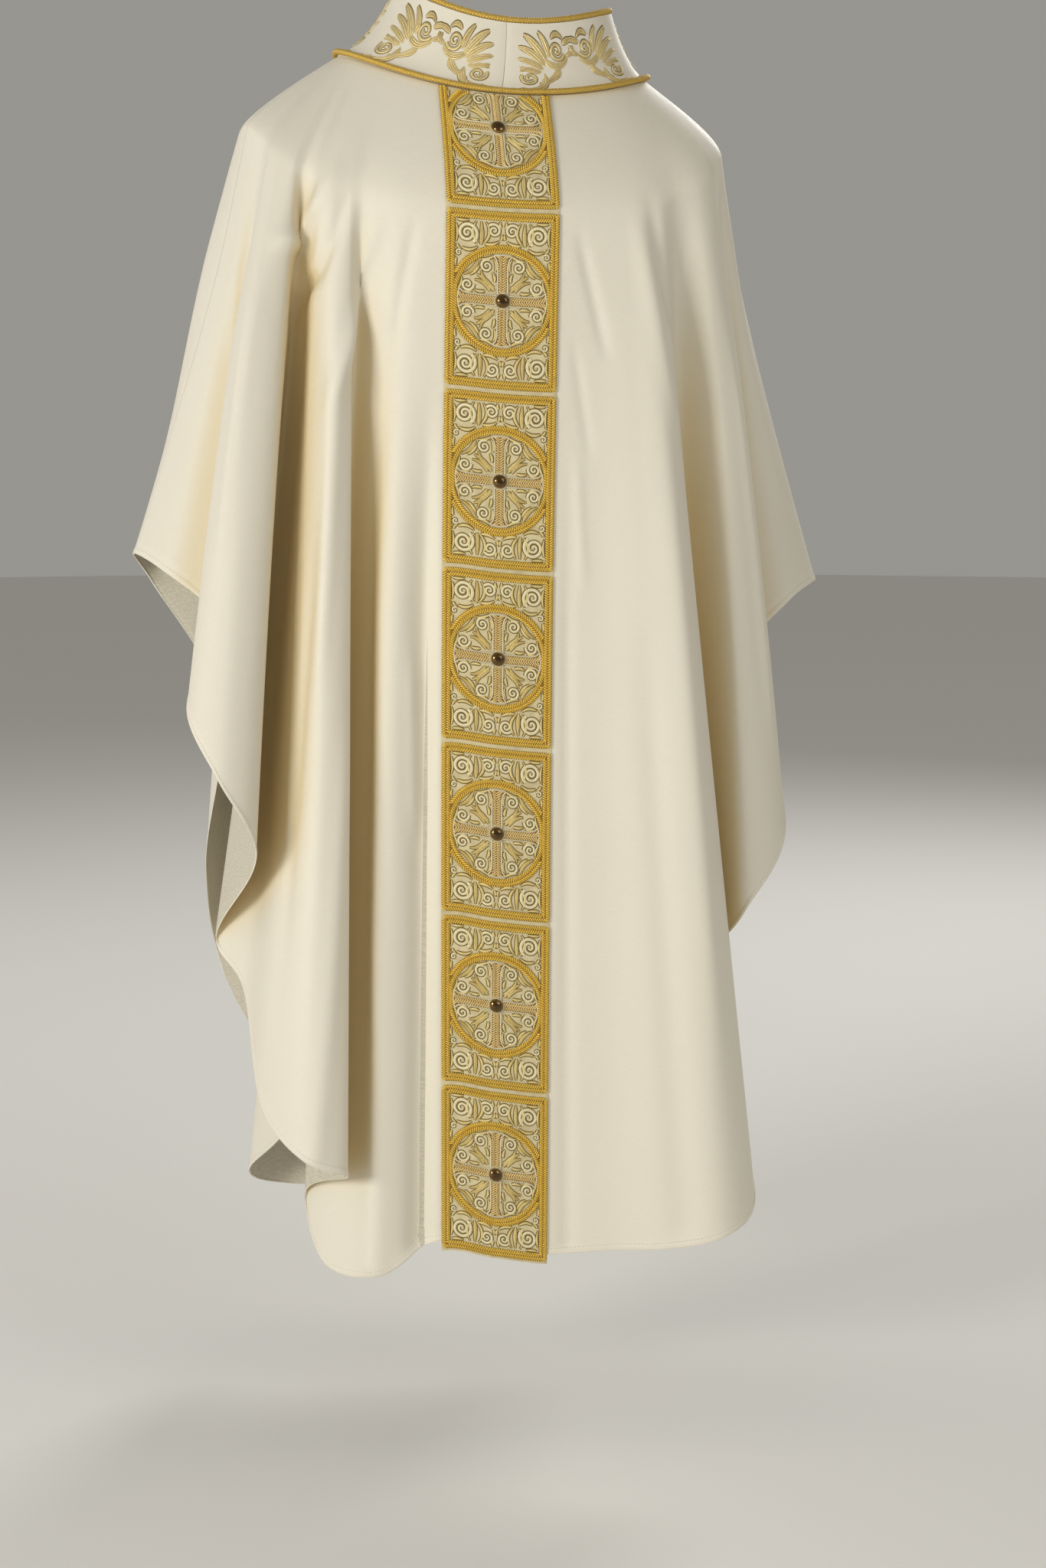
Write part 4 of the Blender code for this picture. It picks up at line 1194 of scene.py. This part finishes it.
def make_twisted_cord(name, node, centre, finish, pitch, strands=3, sides=7, segments=640):
    """Cord of several strands twisted round each other, in a closed loop."""
    angles = np.linspace(0.0, 360.0, segments, endpoint=False)
    path = np.array([centre(angle) for angle in angles])
    ahead = np.roll(path, -1, axis=0)
    along = unit(ahead - np.roll(path, 1, axis=0))
    out = unit(np.cross(along, (0.0, 0.0, 1.0)))
    up = np.cross(out, along)
    run = np.concatenate(([0.0], np.cumsum(np.linalg.norm(ahead - path, axis=1))))
    turns = round(run[-1] / pitch)
    work = Needlework()
    for strand in range(strands):
        phase = 2 * math.pi * (run[:-1] / run[-1] * turns + strand / strands)
        axis_line = path + CORD_RADIUS * 0.54 * (np.cos(phase)[:, None] * out + np.sin(phase)[:, None] * up)
        way = unit(np.roll(axis_line, -1, axis=0) - np.roll(axis_line, 1, axis=0))
        side = unit(np.cross(way, up + 0.001 * along))
        top = np.cross(side, way)
        round_turn = np.arange(sides) * 2 * math.pi / sides
        ring = (np.cos(round_turn)[None, :, None] * side[:, None] + np.sin(round_turn)[None, :, None] * top[:, None])
        points = axis_line[:, None] + CORD_RADIUS * 0.49 * ring
        index = np.arange(segments)[:, None] * sides
        after = (np.arange(segments)[:, None] + 1) % segments * sides
        here = np.arange(sides)[None, :]
        there = (here + 1) % sides
        faces = np.stack([index + here, index + there, after + there, after + here], axis=-1).reshape(-1, 4)
        marks = np.stack([np.broadcast_to(round_turn * CORD_RADIUS * 0.49, (segments, sides)),
                          np.broadcast_to(run[:-1, None], (segments, sides))], axis=-1)
        work.add(points.reshape(-1, 3), faces, marks.reshape(-1, 2))
    cord = work.make(name, finish)
    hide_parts(node)
    return cord


def make_collar_half(name, node, start, end, settings, trim):
    """Half of the stand collar, stiffened and embroidered, with its seam rolled in."""
    surface = collar_surface(start, end)
    grid = surface.grid.copy()
    for edge, inside in ((0, 1), (-1, -2)):
        grid[:, edge] += unit(grid[:, inside] - grid[:, edge]) * SEAM_GAP
    run = surface.across - surface.across[0]
    side = np.minimum(run, run[-1] - run)[None, :]
    rows = np.linspace(0.0, 1.0, grid.shape[0])[:, None]
    puff = 0.0005 * np.sin(math.pi * rows) - 0.0010 * np.exp(-(side / 0.004) ** 2)
    outer = grid + surface.normals * puff[..., None]
    inner = grid - surface.normals * COLLAR_WALL
    marks = np.stack(np.broadcast_arrays(surface.across[None, :], surface.down[:, None]), axis=-1)
    ground = plain_ground(name + " ground", tuple(trim.collar_ground))
    lining = cloth_reverse(settings)
    half = cloth_shell(name + "_cloth", outer, inner, marks, [ground, lining])
    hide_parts(node)
    work = Needlework()
    under = Needlework()
    sign = 1 if start >= 0 else -1
    length = abs(run[-1])
    clusters = 5
    pitch = length / clusters
    for cluster in range(clusters):
        scrolls = [scroll._replace(x=scroll.x * pitch / 80 / MM, y=80 - scroll.y) for scroll in COLLAR_SCROLLS]
        leaves = [leaf._replace(x_a=leaf.x_a * pitch / 80 / MM, x_b=leaf.x_b * pitch / 80 / MM,
                                y_a=80 - leaf.y_a, y_b=80 - leaf.y_b) for leaf in COLLAR_LEAVES]
        flip = 1 if cluster % 2 == 0 else -1
        origin = np.array([sign * pitch * (cluster if flip > 0 else cluster + 1), 0.0])
        draw_ornament(work, work, under, surface, scrolls, leaves, sign * flip, 1, origin, 0.0002, 0.0014, (0.001, 0.079))
    gold = metal_thread(name + " embroidery", tuple(trim.collar_thread), 0.36, 0.5, 0.0008, 0.45)
    embroidery = work.make(name + "_embroidery", gold)
    # Painted shade: dark underlay round each scroll and leaf of the collar.
    underlay = under.make(name + "_underlay", metal_thread(name + " underlay", tuple(trim.collar_shadow), 0.6, 0.2))
    return half


def make_band(surface, settings, trim):
    """The orphrey's ground cloth, with a pressed seam between its panels."""
    rows = list(np.arange(BAND_TOP, BAND_LENGTH, 0.005)) + [BAND_LENGTH]
    seams = [panel_bottom(number) + (PANEL_PITCH - FRAME_TALL) / 2 for number in range(1, PANELS)]
    for seam in seams:
        rows = [row for row in rows if abs(row - seam) > 0.003]
        rows += [seam + offset for offset in (-0.0022, -0.0009, 0.0, 0.0009, 0.0022)]
    rows = np.array(sorted(rows))
    if len(rows) % 2 == 0:
        rows = np.insert(rows, 1, (rows[0] + rows[1]) / 2)
    across = np.concatenate(([-BAND_HALF, -BAND_HALF + 0.0005, -BAND_HALF + 0.0015],
                             np.linspace(-BAND_HALF + 0.004, BAND_HALF - 0.004, 17),
                             [BAND_HALF - 0.0015, BAND_HALF - 0.0005, BAND_HALF]))
    wide, deep = np.meshgrid(across, rows)
    dip = np.zeros_like(deep)
    for seam in seams:
        dip += 0.0005 * np.exp(-((deep - seam) / 0.0009) ** 2)
    edge = 0.0005 * np.exp(-((BAND_HALF - abs(wide)) / 0.0008) ** 2)
    spots = np.stack([wide.reshape(-1), deep.reshape(-1)], axis=1)
    outer = surface.points(spots, (SEAM_GAP + BAND_WALL - dip - edge).reshape(-1)).reshape(*wide.shape, 3)
    inner = surface.points(spots, np.full(wide.size, SEAM_GAP)).reshape(*wide.shape, 3)
    ground = embroidered_ground("orphrey ground", tuple(trim.orphrey_ground), tuple(trim.ground_gold_and_scroll_shade))
    band = cloth_shell("orphrey_ground", outer, inner, np.stack([wide, deep], axis=-1), [ground], coarse=1)
    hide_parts("orphrey_band")
    return band


def place_lights(settings):
    """Plain soft studio light and a pale surround."""
    scene = bpy.context.scene
    world = bpy.data.worlds.new("studio")
    world.use_nodes = True
    background = world.node_tree.nodes["Background"]
    background.inputs["Color"].default_value = (*settings.surround, 1.0)
    background.inputs["Strength"].default_value = settings.surround_light
    scene.world = world
    target = Vector((0.0, 0.0, -0.85))
    rows = (
        ("key", (-3.4, -2.9, 0.1), 1.3, settings.key_light, (1.0, 0.99, 0.96)),
        ("fill", (2.6, -3.4, 0.9), 2.2, settings.fill_light, (1.0, 0.99, 0.97)),
        ("front key", (2.2, 3.4, 1.6), 1.5, settings.key_light * 0.6, (1.0, 0.99, 0.96)),
        ("front fill", (-3.0, 2.6, 0.6), 2.4, settings.fill_light * 0.7, (1.0, 0.99, 0.97)),
    )
    for name, place, size, power, colour in rows:
        light = bpy.data.lights.new(name, "AREA")
        light.energy = power
        light.size = size
        light.color = colour
        lamp = bpy.data.objects.new(name, light)
        lamp.location = place
        lamp.rotation_euler = (target - Vector(place)).to_track_quat("-Z", "Y").to_euler()
        scene.collection.objects.link(lamp)


def place_camera(settings):
    """Camera at the photograph's viewing angle."""
    scene = bpy.context.scene
    target = Vector((0.0241, -0.10, -0.7714))
    azimuth, elevation = settings.azimuth, settings.elevation
    away = Vector((math.sin(azimuth) * math.cos(elevation), -math.cos(azimuth) * math.cos(elevation),
                   math.sin(elevation)))
    data = bpy.data.cameras.new("camera")
    data.sensor_fit = "VERTICAL"
    data.sensor_height = 36.0
    data.lens = settings.lens
    camera = bpy.data.objects.new("camera", data)
    camera.location = target + away * settings.distance
    camera.rotation_euler = (-away).to_track_quat("-Z", "Y").to_euler()
    scene.collection.objects.link(camera)
    scene.camera = camera
    scene.view_settings.view_transform = "Standard"


def place_floor(settings):
    """Wide pale floor well below the hem."""
    steps = 64
    points = [(0.0, 0.0, settings.floor_level)]
    for radius in (2.0, 6.0, 14.0):
        for step in range(steps):
            turn = 2 * math.pi * step / steps
            points.append((radius * math.cos(turn), radius * math.sin(turn), settings.floor_level))
    faces = [(0, 1 + step, 1 + (step + 1) % steps) for step in range(steps)]
    for ring in range(2):
        for step in range(steps):
            here = 1 + ring * steps
            after = (step + 1) % steps
            faces.append((here + step, here + steps + step, here + steps + after, here + after))
    mesh = bpy.data.meshes.new("floor")
    mesh.from_pydata(points, [], faces)
    mesh.materials.append(stage_finish(tuple(settings.floor_colour)))
    floor = bpy.data.objects.new("floor", mesh)
    bpy.context.scene.collection.objects.link(floor)


class ChasubleCloth(bpy.types.PropertyGroup):
    """Sizes and colours of the cloth."""

    wall: FloatProperty(name="Cloth thickness", description="Thickness of the poncho's cloth",
                        default=0.0014, min=0.0006, max=0.003, unit="LENGTH")
    crease_depth: FloatProperty(name="Crease depth", description="Share of each soft crease's height",
                                default=1.0, min=0.0, max=2.0, subtype="FACTOR")
    stitch: FloatProperty(name="Hem stitch", description="Length of one stitch of the hem",
                          default=0.0034, min=0.002, max=0.008, unit="LENGTH")
    cream: FloatVectorProperty(name="Cream", description="Colour of the cloth's right side",
                               default=(0.80, 0.75, 0.62), size=3, min=0.0, max=1.0, subtype="COLOR")
    # Painted shade: this tint is multiplied into the cream in the depth of the folds, where ambient occlusion finds
    # them.
    hollow: FloatVectorProperty(name="Hollow", description="Tint of the cloth in the depth of its folds",
                                default=(0.98, 0.86, 0.60), size=3, min=0.0, max=1.0, subtype="COLOR")
    reverse: FloatVectorProperty(name="Reverse", description="Colour of the cloth's wrong side",
                                 default=(0.60, 0.55, 0.43), size=3, min=0.0, max=1.0, subtype="COLOR")


class ChasubleTrim(bpy.types.PropertyGroup):
    """Sizes and colours of the embroidery, braid, cords and stones."""

    braid_pitch: FloatProperty(name="Braid pitch", description="Distance between the braid's stitches",
                               default=0.0027, min=0.0015, max=0.006, unit="LENGTH")
    braid_height: FloatProperty(name="Braid height", description="How far the braid's stitches stand up",
                                default=0.0016, min=0.0005, max=0.003, unit="LENGTH")
    chevron_pitch: FloatProperty(name="Chevron pitch", description="Distance between the cross's chevrons",
                                 default=0.0027, min=0.0015, max=0.006, unit="LENGTH")
    thread_height: FloatProperty(name="Scroll height", description="How far the scrolls stand up",
                                 default=0.0013, min=0.0004, max=0.003, unit="LENGTH")
    cord_pitch: FloatProperty(name="Cord twist", description="Length of one twist of the collar's cords",
                              default=0.0092, min=0.004, max=0.05, unit="LENGTH")
    gold: FloatVectorProperty(name="Gold braid", description="Colour of the braid",
                              default=(0.88, 0.60, 0.10), size=3, min=0.0, max=1.0, subtype="COLOR")
    # Painted shade: colour of the dark ribbon that shows between the braid's stitches.
    braid_shadow: FloatVectorProperty(name="Braid shade", description="Colour between the braid's stitches",
                                      default=(0.30, 0.17, 0.02), size=3, min=0.0, max=1.0, subtype="COLOR")
    cord: FloatVectorProperty(name="Gold cord", description="Colour of the collar's cords",
                              default=(0.68, 0.45, 0.085), size=3, min=0.0, max=1.0, subtype="COLOR")
    orphrey_ground: FloatVectorProperty(name="Orphrey ground", description="Colour of the orphrey's ground",
                                        default=(0.76, 0.65, 0.38), size=3, min=0.0, max=1.0, subtype="COLOR")
    # Used for the orphrey ground's golden patches, its own colour, and for the dark underlay round the scrolls and
    # leaves, which is painted shade.
    ground_gold_and_scroll_shade: FloatVectorProperty(name="Ground gold", description="Colour between the orphrey's stitches",
                                     default=(0.25, 0.165, 0.035), size=3, min=0.0, max=1.0, subtype="COLOR")
    scroll_thread: FloatVectorProperty(name="Scroll thread", description="Colour of the orphrey's scrolls",
                                       default=(0.88, 0.79, 0.50), size=3, min=0.0, max=1.0, subtype="COLOR")
    leaf_thread: FloatVectorProperty(name="Leaf thread", description="Colour of the orphrey's leaves",
                                     default=(0.82, 0.66, 0.28), size=3, min=0.0, max=1.0, subtype="COLOR")
    collar_ground: FloatVectorProperty(name="Collar ground", description="Colour of the collar's ground",
                                       default=(0.79, 0.735, 0.60), size=3, min=0.0, max=1.0, subtype="COLOR")
    collar_thread: FloatVectorProperty(name="Collar thread", description="Colour of the collar's embroidery",
                                       default=(0.82, 0.66, 0.32), size=3, min=0.0, max=1.0, subtype="COLOR")
    # Painted shade: colour of the dark underlay round the collar's scrolls and leaves.
    collar_shadow: FloatVectorProperty(name="Collar shade", description="Colour round the collar's leaves",
                                       default=(0.20, 0.14, 0.04), size=3, min=0.0, max=1.0, subtype="COLOR")
    chevron: FloatVectorProperty(name="Chevrons", description="Colour of the cross's chevrons",
                                 default=(0.90, 0.69, 0.30), size=3, min=0.0, max=1.0, subtype="COLOR")
    # Painted shade: colour of the dark ribbon that shows between the cross's chevrons.
    cross_shadow: FloatVectorProperty(name="Cross shade", description="Colour between the chevrons",
                                      default=(0.30, 0.165, 0.035), size=3, min=0.0, max=1.0, subtype="COLOR")
    outline: FloatVectorProperty(name="Cross outline", description="Colour of the cross's outline thread",
                                 default=(0.80, 0.72, 0.50), size=3, min=0.0, max=1.0, subtype="COLOR")
    stone: FloatVectorProperty(name="Stone", description="Colour of the stones",
                               default=(0.15, 0.08, 0.014), size=3, min=0.0, max=1.0, subtype="COLOR")


class ChasubleStage(bpy.types.PropertyGroup):
    """Camera, light and floor."""

    azimuth: FloatProperty(name="Camera azimuth", description="Angle of the camera from straight behind",
                           default=math.radians(-10.5), subtype="ANGLE")
    elevation: FloatProperty(name="Camera elevation", description="Angle of the camera above the level",
                             default=math.radians(8.0), subtype="ANGLE")
    distance: FloatProperty(name="Camera distance", description="Distance of the camera from its target",
                            default=3.45, min=0.5, max=20.0, unit="LENGTH")
    lens: FloatProperty(name="Lens", description="Focal length in millimetres", default=69.4, min=10.0, max=300.0)
    floor_level: FloatProperty(name="Floor level", description="Height of the floor",
                               default=-1.52, min=-3.0, max=-1.4, unit="LENGTH")
    key_light: FloatProperty(name="Key light", description="Power of the main soft light",
                             default=112.0, min=0.0, max=2000.0, unit="POWER")
    fill_light: FloatProperty(name="Fill light", description="Power of the second soft light",
                              default=36.0, min=0.0, max=2000.0, unit="POWER")
    surround_light: FloatProperty(name="Surround", description="Brightness of the surround",
                                  default=0.34, min=0.0, max=5.0)
    surround: FloatVectorProperty(name="Surround colour", description="Colour of the surround",
                                  default=(0.92, 0.89, 0.83), size=3, min=0.0, max=1.0, subtype="COLOR")
    floor_colour: FloatVectorProperty(name="Floor colour", description="Colour of the floor",
                                      default=(0.80, 0.79, 0.76), size=3, min=0.0, max=1.0, subtype="COLOR")


class CHASUBLE_OT_stage(bpy.types.Operator):
    """Place the camera, the lights and the floor"""

    bl_idname = "chasuble.stage"
    bl_label = "Stage"

    def execute(self, context):
        settings = context.scene.chasuble_stage
        place_camera(settings)
        place_lights(settings)
        place_floor(settings)
        return {"FINISHED"}


class CHASUBLE_OT_collar(bpy.types.Operator):
    """Make the two halves of the stand collar with their embroidery"""

    bl_idname = "chasuble.collar"
    bl_label = "Collar"

    def execute(self, context):
        scene = context.scene
        make_collar_half("collar_left", "collar_left", -180, 0, scene.chasuble_cloth, scene.chasuble_trim)
        make_collar_half("collar_right", "collar_right", 0, 180, scene.chasuble_cloth, scene.chasuble_trim)
        return {"FINISHED"}


class CHASUBLE_OT_panels(bpy.types.Operator):
    """Cut and hem the back and front panels"""

    bl_idname = "chasuble.panels"
    bl_label = "Back and front panels"

    def execute(self, context):
        settings = context.scene.chasuble_cloth
        make_panel("back_cloth", "back", 0, RIGHT_SEAM, 191, 380, settings)
        make_panel("front_cloth", "front", RIGHT_SEAM, len(FOLDS), 161, 300, settings)
        return {"FINISHED"}


class CHASUBLE_OT_cords(bpy.types.Operator):
    """Twist the two cords of the collar"""

    bl_idname = "chasuble.cords"
    bl_label = "Collar cords"

    def execute(self, context):
        trim = context.scene.chasuble_trim
        finish = metal_thread("twisted gold cord", tuple(trim.cord), 0.42, 0.40, 0.0008, 0.5)
        make_twisted_cord("neck_cord", "cord_base", base_cord_centre, finish, trim.cord_pitch)
        make_twisted_cord("upper_cord", "cord_top", top_cord_centre, finish, trim.cord_pitch)
        return {"FINISHED"}


class CHASUBLE_OT_orphrey(bpy.types.Operator):
    """Lay the orphrey's ground cloth down the centre back"""

    bl_idname = "chasuble.orphrey"
    bl_label = "Orphrey ground"

    def execute(self, context):
        scene = context.scene
        make_band(strip_surface(), scene.chasuble_cloth, scene.chasuble_trim)
        return {"FINISHED"}


class CHASUBLE_OT_braids(bpy.types.Operator):
    """Sew the gold braid of the seven frames and rings"""

    bl_idname = "chasuble.braids"
    bl_label = "Gold braid"

    def execute(self, context):
        trim = context.scene.chasuble_trim
        surface = strip_surface()
        gold = metal_thread("gold braid", tuple(trim.gold), 0.38, 0.45, 0.0008, 0.55)
        # Painted shade for the gaps between the braid's stitches.
        shadow = metal_thread("braid painted shade", tuple(trim.braid_shadow), 0.6, 0.2)
        for number in range(1, PANELS + 1):
            bottom = panel_bottom(number)
            make_frame(number, surface, bottom, gold, shadow, trim)
            make_ring(number, surface, bottom - GEM_DROP, gold, shadow, trim)
        return {"FINISHED"}


class CHASUBLE_OT_crosses(bpy.types.Operator):
    """Embroider the seven crosses"""

    bl_idname = "chasuble.crosses"
    bl_label = "Crosses"

    def execute(self, context):
        trim = context.scene.chasuble_trim
        surface = strip_surface()
        chevron = metal_thread("cross chevrons", tuple(trim.chevron), 0.45, 0.3, 0.0007)
        outline = metal_thread("cross outline", tuple(trim.outline), 0.5, 0.2, 0.0007, 0.7)
        # Painted shade for the gaps between the chevrons.
        shadow = metal_thread("cross painted shade", tuple(trim.cross_shadow), 0.6, 0.2)
        for number in range(1, PANELS + 1):
            make_cross(number, surface, panel_bottom(number) - GEM_DROP, chevron, outline, shadow, trim)
        return {"FINISHED"}


class CHASUBLE_OT_scrolls(bpy.types.Operator):
    """Embroider the scrolls and leaves of the seven panels"""

    bl_idname = "chasuble.scrolls"
    bl_label = "Scrolls"

    def execute(self, context):
        trim = context.scene.chasuble_trim
        surface = strip_surface()
        thread = metal_thread("scroll thread", tuple(trim.scroll_thread), 0.42, 0.15, 0.0006, 0.75)
        leaf = metal_thread("leaf thread", tuple(trim.leaf_thread), 0.42, 0.25, 0.0006, 0.7)
        # Painted shade round the scrolls and leaves.
        shadow = metal_thread("scroll painted shade", tuple(trim.ground_gold_and_scroll_shade), 0.6, 0.2)
        for number in range(1, PANELS + 1):
            work, foliage, under = Needlework(), Needlework(), Needlework()
            middle = panel_bottom(number) - GEM_DROP
            for flip_x in (1, -1):
                for flip_y in (1, -1):
                    draw_ornament(work, foliage, under, surface, PANEL_SCROLLS, PANEL_LEAVES, flip_x, flip_y,
                                  np.array([0.0, middle]), SEAM_GAP + BAND_WALL, trim.thread_height,
                                  (BAND_TOP + 0.002, BAND_LENGTH))
            work.make("scrolls_%d" % number, thread)
            foliage.make("leaves_%d" % number, leaf)
            under.make("scroll_painted_shade_%d" % number, shadow)
        return {"FINISHED"}


class CHASUBLE_OT_stones(bpy.types.Operator):
    """Set the seven stones"""

    bl_idname = "chasuble.stones"
    bl_label = "Stones"

    def execute(self, context):
        trim = context.scene.chasuble_trim
        surface = strip_surface()
        stone = amber_stone(tuple(trim.stone))
        gold = metal_thread("stone setting", tuple(trim.outline), 0.35, 0.4)
        for number in range(1, PANELS + 1):
            make_stone(number, surface, panel_bottom(number) - GEM_DROP, stone, gold)
        return {"FINISHED"}


STEPS = (CHASUBLE_OT_stage, CHASUBLE_OT_collar, CHASUBLE_OT_panels, CHASUBLE_OT_cords, CHASUBLE_OT_orphrey,
         CHASUBLE_OT_braids, CHASUBLE_OT_crosses, CHASUBLE_OT_scrolls, CHASUBLE_OT_stones)


class CHASUBLE_PT_making(bpy.types.Panel):
    """Settings and steps of the chasuble"""

    bl_label = "Chasuble"
    bl_space_type = "VIEW_3D"
    bl_region_type = "UI"
    bl_category = "Chasuble"

    def draw(self, context):
        for settings in (context.scene.chasuble_cloth, context.scene.chasuble_trim, context.scene.chasuble_stage):
            box = self.layout.box()
            for name in settings.__annotations__:
                box.prop(settings, name)
        for step in STEPS:
            self.layout.operator(step.bl_idname)


CLASSES = (ChasubleCloth, ChasubleTrim, ChasubleStage) + STEPS + (CHASUBLE_PT_making,)


def register():
    """Register the classes and the settings."""
    for cls in CLASSES:
        bpy.utils.register_class(cls)
    bpy.types.Scene.chasuble_cloth = PointerProperty(type=ChasubleCloth)
    bpy.types.Scene.chasuble_trim = PointerProperty(type=ChasubleTrim)
    bpy.types.Scene.chasuble_stage = PointerProperty(type=ChasubleStage)


def unregister():
    """Take the settings and the classes away again."""
    del bpy.types.Scene.chasuble_cloth
    del bpy.types.Scene.chasuble_trim
    del bpy.types.Scene.chasuble_stage
    for cls in reversed(CLASSES):
        bpy.utils.unregister_class(cls)


def main():
    """Make every piece in order."""
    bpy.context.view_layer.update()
    register()
    bpy.ops.chasuble.stage()
    bpy.ops.chasuble.collar()
    bpy.ops.chasuble.panels()
    bpy.ops.chasuble.cords()
    bpy.ops.chasuble.orphrey()
    bpy.ops.chasuble.braids()
    bpy.ops.chasuble.crosses()
    bpy.ops.chasuble.scrolls()
    bpy.ops.chasuble.stones()


if __name__ == "__main__":
    main()
